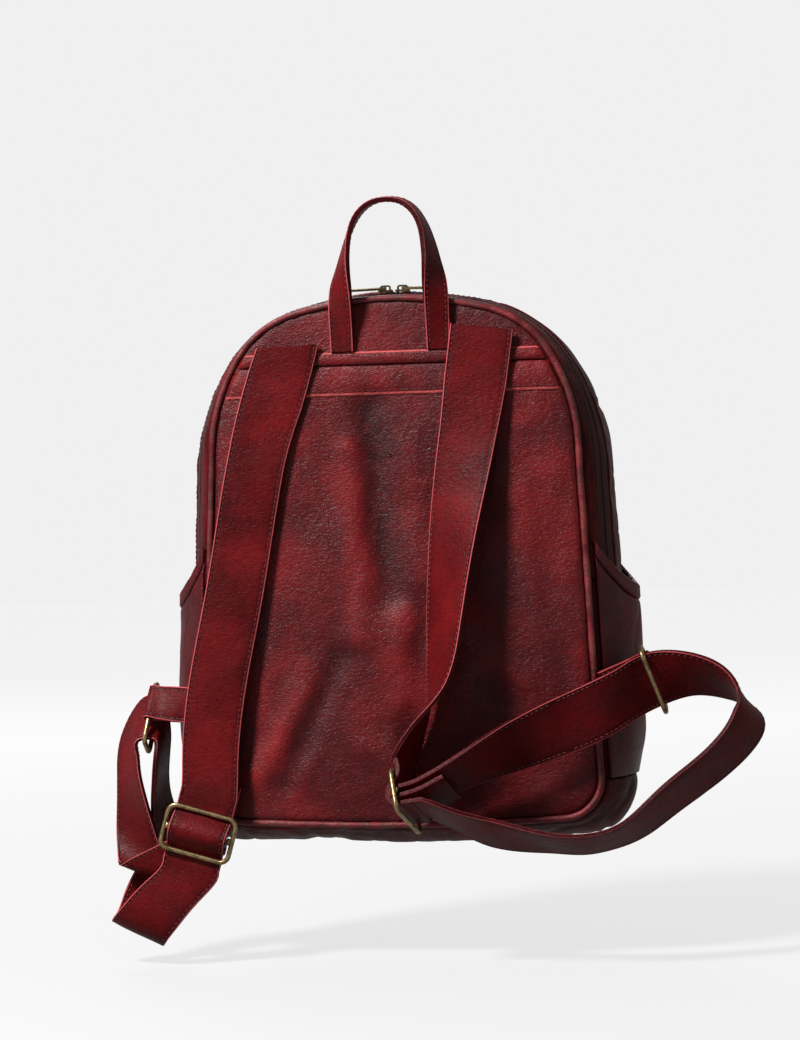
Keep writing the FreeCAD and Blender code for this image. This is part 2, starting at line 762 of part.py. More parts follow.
for name, glide in GLIDES.items():
    brass_loop("adjuster_frame_" + name, "glide", glide.placement())
    bar_between("adjuster_bar_" + name, glide.placement())


def axes_placement(centre, x_dir, y_dir):
    """Placement whose X runs along x_dir and whose Y lies as near y_dir as it can."""
    x_dir = x_dir.normalize()
    z_dir = x_dir.cross(y_dir).normalize()
    y_dir = z_dir.cross(x_dir)
    return FreeCAD.Placement(FreeCAD.Matrix(
        x_dir.x, y_dir.x, z_dir.x, centre.x,
        x_dir.y, y_dir.y, z_dir.y, centre.y,
        x_dir.z, y_dir.z, z_dir.z, centre.z))


# Rings: centre, direction of the long bars, direction towards the bar that the tab holds, foot of
# the tab at the side seam, and how far the ring has slid along that bar from square.
RINGS = {
    "left": (V(-156.9, 14, -311.4), V(-0.1, -0.5, -0.86), V(0.05, -0.86, 0.5), V(-121.7, 1.5, -304), 2),
    "right": (V(153.5, 8, -293), V(0.34, 0.2, -0.92), V(-0.068, 0.96, 0.184), V(123.6, 1.8, -298), -2),
}


def ring_tab(label, bar, long_way, foot):
    """Folded leather tab: out from the side seam, round one long bar of the ring and back."""
    way = bar - foot
    reach = way.Length
    way.normalize()
    seam = Z_AXIS if long_way.z > 0 else Z_AXIS * -1
    bend = size("wire_radius") + size("fit_gap") + size("tab_wall") / 2
    layer = size("tab_wall") / 2 + size("seam_gap") / 2

    def place(along, off, turn):
        across = seam * (1 - turn) + long_way * turn
        off_way = way.cross(across).normalize()
        return (foot + way * along + off_way * off, across)

    near_ring = (reach - bend * 2.2, layer + 0.4, 0.85)
    outward = [(0, layer, 0), (reach * 0.4, layer, 0.3), near_ring, (reach, bend, 1)]
    angles = [math.radians(degrees) for degrees in (60, 30, 0, -30, -60)]
    round_bar = [(reach + bend * math.cos(a), bend * math.sin(a), 1) for a in angles]
    homeward = [(along, -off, turn) for along, off, turn in reversed(outward)]
    stations = [place(*row) for row in outward + round_bar + homeward]
    return feature(label, band(stations, [size("tab_width")] * len(stations), size("tab_wall"), 0))


half_ring = size("ring_width") / 2 - size("wire_radius")
for name, (centre, long_way, to_tab, foot, slack) in RINGS.items():
    long_way = long_way.normalize()
    placement = axes_placement(centre, V(long_way), V(to_tab))
    brass_loop("strap_ring_" + name, "ring", placement)
    bar = placement.multVec(V(0, half_ring, 0))
    held = bar - long_way * ((bar - foot).dot(long_way) + slack)
    ring_tab("ring_tab_" + name, held, V(long_way), foot)

# --- front pocket -------------------------------------------------------------------------------
# Its pieces are drawn about the pocket's own centre, with local Z standing for world -Y.

pocket_middle = -size("front_drop") - size("front_height") / 2


def pocket_place(body, out):
    """Stand a front pocket piece on the front panel; out is its distance along the depth."""
    body.Placement.Rotation = FreeCAD.Rotation(X_AXIS, 90)
    body.setExpression("Placement.Base.y", "Sizes.bag_depth + " + out)
    body.setExpression("Placement.Base.z", "-Sizes.front_drop - Sizes.front_height / 2")


def less(name, gap, times=2):
    """A size of the front pocket drawn in by a gap on both sides, or by once the gap."""
    return ("Sizes.%s - (%s) * %d" % (name, gap[0], times), size(name) - gap[1] * times)


def pocket_rectangle(sketch, gap):
    rounded_rectangle(sketch, less("front_width", gap), less("front_height", gap), less("front_corner", gap, 1))


PIPE_GAP = plain("piping_inset")
PANEL_GAP = ("Sizes.piping_inset + Sizes.piping_radius + Sizes.seam_gap", hug)
NO_GAP = ("0", 0.0)
RUN = "(Sizes.front_depth - Sizes.piping_radius * 2 + 0.7)"

gusset = new_body("front_pocket_gusset")
rim = new_sketch(gusset, "XY_Plane")
pocket_rectangle(rim, NO_GAP)
pad = gusset.newObject("PartDesign::Pad", "front_gusset_pad")
pad.Profile = rim
pad.Reversed = True
pad.setExpression("Length", RUN)
hollow = new_sketch(gusset, "XY_Plane")
pocket_rectangle(hollow, plain("leather"))
doc.recompute()
bore = gusset.newObject("PartDesign::Pocket", "front_gusset_hollow")
bore.Profile = hollow
bore.Type = "ThroughAll"
bore.Midplane = True
slot = new_sketch(gusset, "XZ_Plane")
slot_corner = ("Sizes.seam_gap * 5", size("seam_gap") * 5)
rounded_rectangle(slot, plain("front_zip_length"), plain("front_zip_width"), slot_corner)
slot.setExpression("AttachmentOffset.Base.y", "-" + RUN + " / 2")
doc.recompute()
mouth = gusset.newObject("PartDesign::Pocket", "front_gusset_mouth")
mouth.Profile = slot
mouth.setExpression("Length", "Sizes.front_height")
gusset.Tip = mouth
pocket_place(gusset, "Sizes.seam_gap")
publish(gusset, "front_pocket_gusset")

cover = new_body("front_pocket_panel")
face = new_sketch(cover, "XY_Plane")
pocket_rectangle(face, PANEL_GAP)
pad = cover.newObject("PartDesign::Pad", "front_cover_pad")
pad.Profile = face
pad.setExpression("Length", "Sizes.leather")
cover.Tip = pad
pocket_place(cover, "Sizes.front_depth")
publish(cover, "front_pocket_panel")

doc.recompute()
piping = wire_loop("front_pocket_piping", less("front_width", PIPE_GAP), less("front_height", PIPE_GAP),
                   less("front_corner", PIPE_GAP, 1), "Sizes.piping_radius")
pocket_place(piping, "Sizes.front_depth - Sizes.piping_radius + 0.8")

ZIP_MIDDLE = "Sizes.bag_depth + Sizes.seam_gap + " + RUN + " / 2"


def zip_block(label, length, width, low, high):
    """Straight strip in the mouth of the front pocket; heights count down from its top."""
    strip = doc.addObject("Part::Box", label)
    strip.setExpression("Length", length)
    strip.setExpression("Width", width)
    strip.setExpression("Height", "(%s) - (%s)" % (low, high))
    strip.setExpression("Placement.Base.x", "-(%s) / 2" % length)
    strip.setExpression("Placement.Base.y", "%s - (%s) / 2" % (ZIP_MIDDLE, width))
    strip.setExpression("Placement.Base.z", "-Sizes.front_drop - (%s)" % low)
    return publish(strip, label)


TAPE_TOP = "Sizes.tape_sink"
TAPE_FOOT = TAPE_TOP + " + Sizes.tape_wall"
COIL_TOP = TAPE_TOP + " - Sizes.coil_rise"
zip_block("front_zip_tape", "Sizes.front_zip_length - 0.2", "Sizes.front_zip_width - 0.2", TAPE_FOOT, TAPE_TOP)
zip_block("front_zip_coil", "Sizes.front_zip_length - 4", "Sizes.coil_width", TAPE_TOP, COIL_TOP)

# --- zip sliders --------------------------------------------------------------------------------
# A slider's own frame: X along the zip, Z away from the bag, origin on top of the coil.

window_foot = size("fit_gap") + size("slider_wall")
pivot_rise = window_foot + size("pin_radius") + 0.1
BAIL_HALF = 3.4
BAIL_THICK = 1.1
LINK = 1.0
HOLE_LENGTH = 4.2
HOLE_WIDTH = 2.6


def zip_slider(label, placement):
    """Slider body: a rounded plate over the coil with an arched bail for the pull."""
    body = new_body(label)
    foot = new_sketch(body, "XY_Plane", "Sizes.fit_gap")
    corner = ("Sizes.slider_width / 3", size("slider_width") / 3)
    rounded_rectangle(foot, plain("slider_length"), plain("slider_width"), corner)
    pad = body.newObject("PartDesign::Pad", label + "_plate")
    pad.Profile = foot
    pad.setExpression("Length", "Sizes.slider_wall")
    doc.recompute()
    arch = new_sketch(body, "XZ_Plane")
    low = window_foot - size("slider_wall") / 2
    ceiling = window_foot + 2 * size("pin_radius") + 0.2
    inside = BAIL_HALF - BAIL_THICK
    corners = [
        (-BAIL_HALF, low), (-BAIL_HALF, ceiling),
        (-inside, ceiling + BAIL_THICK), (inside, ceiling + BAIL_THICK),
        (BAIL_HALF, ceiling), (BAIL_HALF, low), (inside, low),
        (inside, ceiling), (-inside, ceiling), (-inside, low)]
    points = [V(x, z, 0) for x, z in corners]
    for start, end in zip(points, points[1:] + points[:1]):
        arch.addGeometry(Part.LineSegment(start, end))
    doc.recompute()
    bail = body.newObject("PartDesign::Pad", label + "_bail")
    bail.Profile = arch
    bail.Midplane = True
    bail.setExpression("Length", "Sizes.slider_wall * 1.3")
    body.Tip = bail
    body.Placement = placement
    return publish(body, label)


def zip_pull(label, placement, way):
    """Pull tab lying along the zip, hooked in the bail; way is +1 or -1 along the slider's X."""
    body = new_body(label)
    blank = new_sketch(body, "XY_Plane")
    corner = ("Sizes.pull_width / 3", size("pull_width") / 3)
    rounded_rectangle(blank, plain("pull_length"), plain("pull_width"), corner)
    pad = body.newObject("PartDesign::Pad", label + "_blank")
    pad.Profile = blank
    pad.Midplane = True
    pad.setExpression("Length", "Sizes.pull_wall")
    eye = new_sketch(body, "XY_Plane")
    rounded_rectangle(eye, ("%g" % HOLE_LENGTH, HOLE_LENGTH), ("%g" % HOLE_WIDTH, HOLE_WIDTH), ("0.6", 0.6))
    eye.setExpression("AttachmentOffset.Base.x", "%g - Sizes.pull_length / 2" % (LINK + HOLE_LENGTH / 2))
    doc.recompute()
    hole = body.newObject("PartDesign::Pocket", label + "_eye")
    hole.Profile = eye
    hole.Type = "ThroughAll"
    hole.Midplane = True
    body.Tip = hole
    turn = FreeCAD.Rotation(Z_AXIS, 0 if way > 0 else 180)
    shift = V(way * (size("pull_length") / 2 - LINK / 2), 0, pivot_rise)
    body.Placement = placement.multiply(FreeCAD.Placement(shift, turn))
    return publish(body, label)


zip_y = size("zip_centre")
coil_radius = size("top_radius") + size("coil_rise") - size("tape_sink")
arc_centre = V(0, zip_y, -size("bag_drop") + bulge_at(zip_y) * size("top_growth") - size("top_radius"))
climb = (bulge_at(zip_y + 1) - bulge_at(zip_y - 1)) / 2 * size("top_growth")
slider_angle = math.degrees(math.asin((size("slider_length") / 2 + 0.8) / coil_radius))
for name, way in (("left", -1), ("right", 1)):
    angle = math.radians(way * slider_angle)
    radial = V(math.sin(angle), -climb, math.cos(angle))
    along = V(math.cos(angle), 0, -math.sin(angle))
    place = axes_placement(arc_centre + V(radial.x, 0, radial.z) * coil_radius, along, radial.cross(along))
    zip_slider("main_zip_slider_" + name, place)
    zip_pull("main_zip_pull_" + name, place, way)

run = size("front_depth") - 2 * size("piping_radius") + 0.7
front_zip_y = depth + size("seam_gap") + run / 2
parked = V(size("front_zip_length") / 2 - 12, front_zip_y, -size("front_drop") + size("coil_rise") - size("tape_sink"))
place = FreeCAD.Placement(parked, FreeCAD.Rotation())
zip_slider("front_zip_slider", place)
zip_pull("front_zip_pull", place, 1)

# --- check and write ----------------------------------------------------------------------------

doc.recompute()
for thing in doc.Objects:
    if "Invalid" in thing.State or "Error" in thing.State:
        raise RuntimeError("%s did not build: %s" % (thing.Label, thing.State))
os.makedirs("parts", exist_ok=True)
for node in nodes:
    if node.Shape.isNull() or not node.Shape.isValid() or not node.Shape.Solids:
        raise RuntimeError("%s has no sound shape" % node.Label)
    node.Shape.exportStep(os.path.join("parts", node.Label + ".step"))
print("%d sub-parts written" % len(nodes))
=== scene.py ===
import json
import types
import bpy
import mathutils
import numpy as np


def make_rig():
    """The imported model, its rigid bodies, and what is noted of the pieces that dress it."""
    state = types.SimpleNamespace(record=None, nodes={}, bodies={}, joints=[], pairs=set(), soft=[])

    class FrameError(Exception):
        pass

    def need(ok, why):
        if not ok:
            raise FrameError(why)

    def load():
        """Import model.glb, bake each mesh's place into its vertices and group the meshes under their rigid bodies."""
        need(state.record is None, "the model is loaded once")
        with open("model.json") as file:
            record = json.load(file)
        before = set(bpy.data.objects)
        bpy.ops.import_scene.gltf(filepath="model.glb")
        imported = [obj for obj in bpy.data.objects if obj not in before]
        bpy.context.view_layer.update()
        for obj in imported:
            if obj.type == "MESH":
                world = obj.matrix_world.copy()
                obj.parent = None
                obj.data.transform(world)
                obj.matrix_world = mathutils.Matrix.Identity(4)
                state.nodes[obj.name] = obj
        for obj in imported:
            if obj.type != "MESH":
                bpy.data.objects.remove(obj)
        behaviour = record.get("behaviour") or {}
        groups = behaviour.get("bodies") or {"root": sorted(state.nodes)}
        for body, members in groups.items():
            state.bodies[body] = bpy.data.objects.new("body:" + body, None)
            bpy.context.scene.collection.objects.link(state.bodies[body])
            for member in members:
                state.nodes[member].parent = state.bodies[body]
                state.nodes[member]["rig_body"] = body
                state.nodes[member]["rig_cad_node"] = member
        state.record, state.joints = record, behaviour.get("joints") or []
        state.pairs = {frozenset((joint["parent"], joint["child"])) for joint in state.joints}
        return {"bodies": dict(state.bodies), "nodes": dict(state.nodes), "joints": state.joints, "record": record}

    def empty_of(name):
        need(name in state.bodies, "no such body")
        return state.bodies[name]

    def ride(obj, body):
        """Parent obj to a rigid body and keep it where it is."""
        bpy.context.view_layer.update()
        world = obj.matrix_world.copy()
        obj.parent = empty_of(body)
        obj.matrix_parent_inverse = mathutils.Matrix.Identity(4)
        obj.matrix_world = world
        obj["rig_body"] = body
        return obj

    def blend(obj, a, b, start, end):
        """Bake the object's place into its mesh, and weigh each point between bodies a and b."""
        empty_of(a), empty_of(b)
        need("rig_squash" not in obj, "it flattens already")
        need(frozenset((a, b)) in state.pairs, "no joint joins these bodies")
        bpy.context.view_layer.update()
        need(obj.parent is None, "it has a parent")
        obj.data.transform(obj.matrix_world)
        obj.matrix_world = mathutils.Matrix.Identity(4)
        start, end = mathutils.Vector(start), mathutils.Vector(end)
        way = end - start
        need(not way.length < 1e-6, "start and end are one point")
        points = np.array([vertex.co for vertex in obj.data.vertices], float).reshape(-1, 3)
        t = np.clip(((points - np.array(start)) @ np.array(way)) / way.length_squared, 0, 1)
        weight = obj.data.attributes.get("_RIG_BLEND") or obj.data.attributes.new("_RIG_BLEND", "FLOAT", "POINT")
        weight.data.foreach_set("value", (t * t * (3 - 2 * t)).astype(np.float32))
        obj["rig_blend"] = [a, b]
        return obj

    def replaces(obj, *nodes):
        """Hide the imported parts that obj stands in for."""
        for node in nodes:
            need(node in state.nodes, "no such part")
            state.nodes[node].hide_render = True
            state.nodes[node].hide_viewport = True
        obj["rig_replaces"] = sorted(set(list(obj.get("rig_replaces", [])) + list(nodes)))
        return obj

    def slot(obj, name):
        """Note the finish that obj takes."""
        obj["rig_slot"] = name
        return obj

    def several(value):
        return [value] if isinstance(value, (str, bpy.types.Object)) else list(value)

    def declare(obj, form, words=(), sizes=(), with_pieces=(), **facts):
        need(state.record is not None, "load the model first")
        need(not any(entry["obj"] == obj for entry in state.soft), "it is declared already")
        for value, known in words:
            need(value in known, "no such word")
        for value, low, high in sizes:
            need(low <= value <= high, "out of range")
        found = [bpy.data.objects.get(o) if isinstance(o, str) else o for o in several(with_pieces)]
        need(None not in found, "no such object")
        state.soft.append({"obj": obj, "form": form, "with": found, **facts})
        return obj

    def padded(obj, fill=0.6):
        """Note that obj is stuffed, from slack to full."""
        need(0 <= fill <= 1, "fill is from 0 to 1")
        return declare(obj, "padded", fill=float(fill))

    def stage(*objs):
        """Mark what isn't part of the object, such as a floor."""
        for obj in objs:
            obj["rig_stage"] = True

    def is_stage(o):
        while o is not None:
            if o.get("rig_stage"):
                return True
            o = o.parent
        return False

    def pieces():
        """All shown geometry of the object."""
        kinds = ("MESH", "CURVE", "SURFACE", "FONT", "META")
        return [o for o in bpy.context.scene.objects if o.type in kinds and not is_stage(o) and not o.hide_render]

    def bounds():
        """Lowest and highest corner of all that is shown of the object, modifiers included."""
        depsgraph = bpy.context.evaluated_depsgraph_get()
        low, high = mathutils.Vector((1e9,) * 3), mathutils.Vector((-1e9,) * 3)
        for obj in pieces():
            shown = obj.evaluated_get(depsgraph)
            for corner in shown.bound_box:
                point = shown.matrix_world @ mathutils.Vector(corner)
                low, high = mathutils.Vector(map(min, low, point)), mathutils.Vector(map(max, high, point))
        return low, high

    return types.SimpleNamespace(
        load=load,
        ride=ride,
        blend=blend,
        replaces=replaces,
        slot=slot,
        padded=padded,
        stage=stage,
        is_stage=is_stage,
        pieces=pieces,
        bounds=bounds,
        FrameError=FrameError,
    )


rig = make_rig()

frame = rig.load()
cad_low, cad_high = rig.bounds()

import json
from itertools import product
from math import cos, exp, hypot, pi, radians, sin, sqrt

import bmesh
import bpy
import numpy as np
from mathutils import Quaternion, Vector, noise

MM = 0.001

# --- sizes of the bag, in millimetres, as the frame has them
BAG_DROP, PANEL_HEIGHT, DEPTH = 58.0, 320.0, 100.0
# HUG is how far inside the outline a panel meets its piping, and TUCK how far it goes on beneath it.
LEATHER, PANEL, HUG, PIPING, TUCK = 2.0, 2.4, 2.6, 2.0, 1.2
SIDE_GROWTH, TOP_GROWTH, BASE_GROWTH, CORNER_GROWTH = 19.0, 7.0, 15.0, 8.0
EDGE = 2 * PIPING - 0.7
ZIP_Y, COIL_W, TAPE_W, TAPE_SINK, TAPE_T, TOOTH_PITCH = 22.0, 3.4, 6.3, 0.8, 0.9, 1.5
ZIP_END, BASE_SEAM, SEAM_GAP = -232.0, -352.0, 0.12
YOKE_TOP, YOKE_FOOT, WELT = -90.0, -117.0, 8.5
STRAP_W, STRAP_T, WIRE = 36.0, 2.2, 1.5
ADJUSTER_LONG, ADJUSTER_WIDE, RING_LONG, RING_WIDE = 46, 30, 43, 22
SIDES = (("left", -1), ("right", 1))


def unit(v):
    return v / np.linalg.norm(v, axis=-1, keepdims=True)


def length_along(line):
    return np.concatenate([[0], np.cumsum(np.linalg.norm(np.diff(line, axis=0), axis=1))])


def sample(line, marks, at):
    """Points of a line whose own points have the given marks."""
    return np.stack([np.interp(at, marks, line[:, k]) for k in range(line.shape[1])], 1)


def resample(points, count, closed=False):
    if closed:
        points = np.concatenate([points, points[:1]])
    run = length_along(points)
    return sample(points, run, np.linspace(0, run[-1], count, endpoint=not closed))


def bulge(y):
    """How much of their growth the gussets have at a depth: none at the panels, all halfway."""
    half, rise = DEPTH / 2, SIDE_GROWTH
    radius = (half * half + rise * rise) / (2 * rise)
    return (sqrt(radius * radius - (y - half) ** 2) - (radius - rise)) / rise


def arc_points(centre, radius, low, high, count):
    angles = np.linspace(low, high, count, endpoint=False)
    return np.stack([centre[0] + radius * np.sin(angles), centre[1] + radius * np.cos(angles)], 1)


def outline(depth, inset=0.0):
    """Closed outline (x, z) at one depth, from the middle of the top round by +X and back."""
    b = bulge(depth)
    a1, a2, a3, a4 = (radians(v) for v in (15, 59, 87.5, 176.5))
    more = b * SIDE_GROWTH / (sin(a3) - sin(a1))
    r1, r2, r3 = 230 - inset, 60 + more - inset, 115 + more - inset
    r4 = 24 + b * CORNER_GROWTH - inset
    top = -BAG_DROP + b * TOP_GROWTH - inset
    floor = -BAG_DROP - PANEL_HEIGHT - b * BASE_GROWTH + inset

    def polar(c, r, a):
        return (c[0] + r * sin(a), c[1] + r * cos(a))

    c1 = (0, top - r1)
    c2 = polar(polar(c1, r1, a1), -r2, a1)
    c3 = polar(polar(c2, r2, a2), -r3, a2)
    p3 = polar(c3, r3, a3)
    reach = (p3[0] * sin(a3) + p3[1] * cos(a3) - r4 - (floor + r4) * cos(a3)) / (
        sin(a4) * sin(a3) + (1 + cos(a4)) * cos(a3))
    r5 = reach + r4
    c5 = (0, floor + r5)
    c4 = polar(c5, reach, a4)
    half = np.concatenate([
        arc_points(c1, r1, 0, a1, 30), arc_points(c2, r2, a1, a2, 26), arc_points(c3, r3, a2, a3, 30),
        np.linspace(p3, polar(c4, r4, a3), 60, endpoint=False),
        arc_points(c4, r4, a3, a4, 24), arc_points(c5, r5, a4, pi, 50)])
    return np.concatenate([half, [[0.0, floor]], half[:0:-1] * np.array([-1, 1])])


def cut_path(depth, inset, level, upper, count):
    """Outline at one depth above or below a level, from -X to +X, evenly divided."""
    ring = outline(depth, inset)
    turned = np.roll(ring, len(ring) // 2, axis=0) if upper else ring
    keep = turned[:, 1] > level if upper else turned[:, 1] < level
    start, stop = np.argmax(keep), len(keep) - np.argmax(keep[::-1])
    part = turned[start:stop]

    def meet(a, b):
        return a + (b - a) * (level - a[1]) / (b[1] - a[1])

    part = np.concatenate([
        [meet(turned[start - 1], part[0])], part, [meet(part[-1], turned[stop % len(turned)])]])
    return resample(part if upper else part[::-1], count)


def reach(depth, level, inset=0.0):
    """Half the bag's width at a depth and a level."""
    ring = outline(depth, inset)
    half = ring[:len(ring) // 2]
    widest = np.argmax(half[:, 0])
    side = half[widest:] if level < half[widest, 1] else half[:widest + 1]
    return max(np.interp(-level, -side[:, 1], side[:, 0]), 0)


# --- noise and folds

def wander(point, size, seed=0.0, stretch=(1, 1, 1)):
    """Smooth noise of about -1 to 1, with features of the given size in millimetres."""
    x, y, z = (point[k] / (size * stretch[k]) for k in range(3))
    return noise.noise(Vector((x + seed * 7.3, y - seed * 3.1, z + seed * 5.7))) * 1.6


def ridge(point, size, seed=0.0, stretch=(1, 1, 1)):
    """Creases: 1 along thin winding lines and 0 away from them."""
    return max(0.0, 1 - abs(wander(point, size, seed, stretch)) * 4.5)


def fold_field(folds, x, z):
    """Soft folds, each a line (x0, z0, x1, z1, half width, height)."""
    total = 0.0
    for x0, z0, x1, z1, wide, high in folds:
        dx, dz = x1 - x0, z1 - z0
        share = min(1.0, max(0.0, ((x - x0) * dx + (z - z0) * dz) / (dx * dx + dz * dz)))
        total += high * exp(-(hypot(x - x0 - dx * share, z - z0 - dz * share) / wide) ** 2)
    return total


def dip(distance, wide=3.0, deep=1.3):
    """Leather turns in to a seam within a short distance of its edge."""
    return -deep * max(0.0, 1 - distance / wide) ** 2


# --- mesh making. A part is (points in mm, faces, marks, number of its material), and a mark is a
# number for each point that the material reads.

def add_object(name, data, place=(0, 0, 0)):
    thing = bpy.data.objects.new(name, data)
    bpy.context.collection.objects.link(thing)
    thing.location = place
    return thing


def piece(name, parts, slot="bag_leather", body="bag", materials=None, stands=None):
    """One closed mesh of parts, riding on a body, or on none yet if it is to be blended between two."""
    count, faces, bands = 0, [], []
    for points, part_faces, _, band in parts:
        faces += [[i + count for i in face] for face in part_faces]
        bands += [band] * len(part_faces)
        count += len(points)
    mesh = bpy.data.meshes.new(name)
    mesh.from_pydata([tuple(v) for v in np.concatenate([part[0] for part in parts]) * MM], [], faces)
    mesh.validate()
    for mark in dict.fromkeys(key for part in parts for key in part[2]):
        values = np.concatenate([marks.get(mark, [0.0] * len(points)) for points, _, marks, _ in parts])
        mesh.attributes.new(mark, "FLOAT", "POINT").data.foreach_set("value", values.astype(np.float32))
    thing = add_object(name + "_look", mesh)
    for stuff in materials or LOOKS[slot]:
        mesh.materials.append(stuff)
    mesh.polygons.foreach_set("material_index", bands)
    mesh.polygons.foreach_set("use_smooth", [True] * len(bands))
    if slot == "strap_leather":
        mesh.set_sharp_from_angle(angle=radians(55))
    if body:
        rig.ride(thing, body)
    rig.slot(thing, slot)
    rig.replaces(thing, *(stands or [name]))
    return thing


def blank(n, m):
    """Room for a grid of points and for their tones."""
    return np.zeros((n, m, 3)), np.zeros((n, m))


def steps_along(points, closed):
    """Directions along the first axis of an array of points."""
    return np.roll(points, -1, 0) - np.roll(points, 1, 0) if closed else np.gradient(points, axis=0)


def grid_normals(grid, wrap=False):
    normal = np.cross(steps_along(grid, wrap), np.gradient(grid, axis=1))
    length = np.linalg.norm(normal, axis=2, keepdims=True)
    length[length < 1e-9] = 1
    return normal / length


def thick(grid, wall, out=1, tone=None, wrap=False, heart=False):
    """Closed sheet: the grid is its outer face, and the inner one lies a wall behind it. Out is -1 where
    the grid's own normals point inward. A sheet with a heart has no last rim, as its columns meet there."""
    n, m, _ = grid.shape
    inner = grid - grid_normals(grid, wrap) * out * wall
    ends = [(i * m, (i + 1) % n * m) for i in range(n if wrap else n - 1)]
    faces = []
    for i, k in ends:
        for j in range(m - 1):
            quad = (i + j, k + j, k + j + 1, i + j + 1)
            faces += [quad, tuple(v + n * m for v in reversed(quad))]
    rims = [(i, k, -1) for i, k in ends]
    if not heart:
        rims += [(i + m - 1, k + m - 1, 1) for i, k in ends]
    if not wrap:
        rims += [(row + j, row + j + 1, way) for row, way in ((0, 1), (n * m - m, -1)) for j in range(m - 1)]
    faces += [(i, k, k + n * m, i + n * m)[::way] for i, k, way in rims]
    marks = {} if tone is None else {"tone": np.tile(np.reshape(tone, -1), 2)}
    points = np.concatenate([grid.reshape(-1, 3), inner.reshape(-1, 3)])
    return points, [face[::out] for face in faces], marks, 0


def hose(rings, sides, closed=False, inward=False):
    """Faces of a tube of rings, with a cap at each end if it isn't closed to a loop."""
    faces = []
    for i in range(rings if closed else rings - 1):
        n = (i + 1) % rings
        for k in range(sides):
            q = (k + 1) % sides
            a, b, c, d = i * sides + k, i * sides + q, n * sides + q, n * sides + k
            faces.append((a, d, c, b) if inward else (a, b, c, d))
    if not closed:
        first, last = (tuple(range(start, start + sides)) for start in (0, (rings - 1) * sides))
        faces += [first, last[::-1]] if inward else [first[::-1], last]
    return faces


def copies(faces, points, count):
    """Faces of a small mesh of so many points, for each of its copies."""
    return [[i + points * k for i in face] for k in range(count) for face in faces]


def tube(path, radii, sides, closed=True, up=(0.0, 1.0, 0.0)):
    """Round wire or piping along a path."""
    path, radii = np.asarray(path, float), np.asarray(radii, float)[:, None]
    along = unit(steps_along(path, closed))
    side = unit(np.cross(along, up))
    rise = np.cross(side, along)
    turns = [2 * pi * k / sides for k in range(sides)]
    rings = [path + side * (cos(a) * radii) + rise * (sin(a) * radii) for a in turns]
    return np.stack(rings, 1).reshape(-1, 3), hose(len(path), sides, closed), {}, 0


def piping(name, line, seed):
    """Covered cord along a closed line, a little uneven."""
    cord = tube(line, [PIPING * (1 + 0.06 * wander(p, 8, seed)) for p in line], 14)
    cord[2]["tone"] = [0.1 + 0.3 * wander(p, 6, seed + 1) for p in cord[0]]
    piece(name, [cord], "piping_leather")


def threads(spots, along, side, out, size):
    """Stitches: short plump threads, their ends dipping into the leather."""
    radius = 0.26
    points = [spots + along * share * size + side * c * radius * plump + out * (lift + s * radius * plump)
              for share, plump, lift in (
                  (-0.5, 0.35, -0.12), (-0.25, 0.9, 0.05), (0.25, 0.9, 0.05), (0.5, 0.35, -0.12))
              for c, s in ((1, 0), (0.3, 0.9), (-0.3, 0.9), (-1, 0))]
    return np.stack(points, 1).reshape(-1, 3), copies(hose(4, 4), len(points), len(spots)), {}, 1


def sewing(line, normals, trim=2.0):
    """A row of stitches along a line that lies on a surface."""
    run = length_along(line)
    at = np.arange(trim, run[-1] - trim, 3.4)
    along = unit(sample(line, run, at + 0.8) - sample(line, run, at - 0.8))
    out = unit(sample(normals, run, at))
    return threads(sample(line, run, at), along, np.cross(out, along), out, 2.4)


def spline(points, marks, at):
    """Natural cubic curve through points at the given marks."""
    h, right = np.diff(marks), np.zeros_like(points)
    matrix = np.diag([1, *2 * (h[:-1] + h[1:]), 1]) + np.diag([*h[:-1], 0], -1) + np.diag([0, *h[1:]], 1)
    right[1:-1] = 6 * np.diff(np.diff(points, axis=0) / h[:, None], axis=0)
    bend = np.linalg.solve(matrix, right)
    spot = np.clip(np.searchsorted(marks, at, side="right") - 1, 0, len(h) - 1)
    a = ((marks[spot + 1] - at) / h[spot])[:, None]
    b = 1 - a
    square = (h[spot] ** 2)[:, None] / 6
    return (a * points[spot] + b * points[spot + 1]
            + ((a ** 3 - a) * bend[spot] + (b ** 3 - b) * bend[spot + 1]) * square)


def stations_along(rows, widths=None, spacing=3.0, curved=True):
    """Centres, across vectors and widths closely spaced along a band."""
    centres = np.array([row[0] for row in rows], float)
    across = unit(np.array([row[1] for row in rows], float))
    widths = np.array(widths or [STRAP_W] * len(rows), float)
    gaps = np.linalg.norm(np.diff(centres, axis=0), axis=1)
    marks = np.concatenate([[0], np.cumsum(np.sqrt(gaps) if curved else gaps)])
    at = []
    for i, gap in enumerate(gaps):
        steps = max(1, round(gap / spacing))
        at += [marks[i] + (marks[i + 1] - marks[i]) * k / steps for k in range(steps)]
    at = np.array(at + [marks[-1]])
    follow = spline if curved else sample
    low, high = (follow(centres + across * widths[:, None] * s, marks, at) for s in (-0.5, 0.5))
    return (low + high) / 2, high - low, np.interp(at, marks, widths)


def band_frames(centres, across, square):
    """Unit vectors along, across and out of a band."""
    along = unit(np.gradient(centres, axis=0))
    if square:
        across = across - along * np.sum(across * along, axis=1, keepdims=True)
    across = unit(across)
    return along, across, unit(np.cross(along, across))


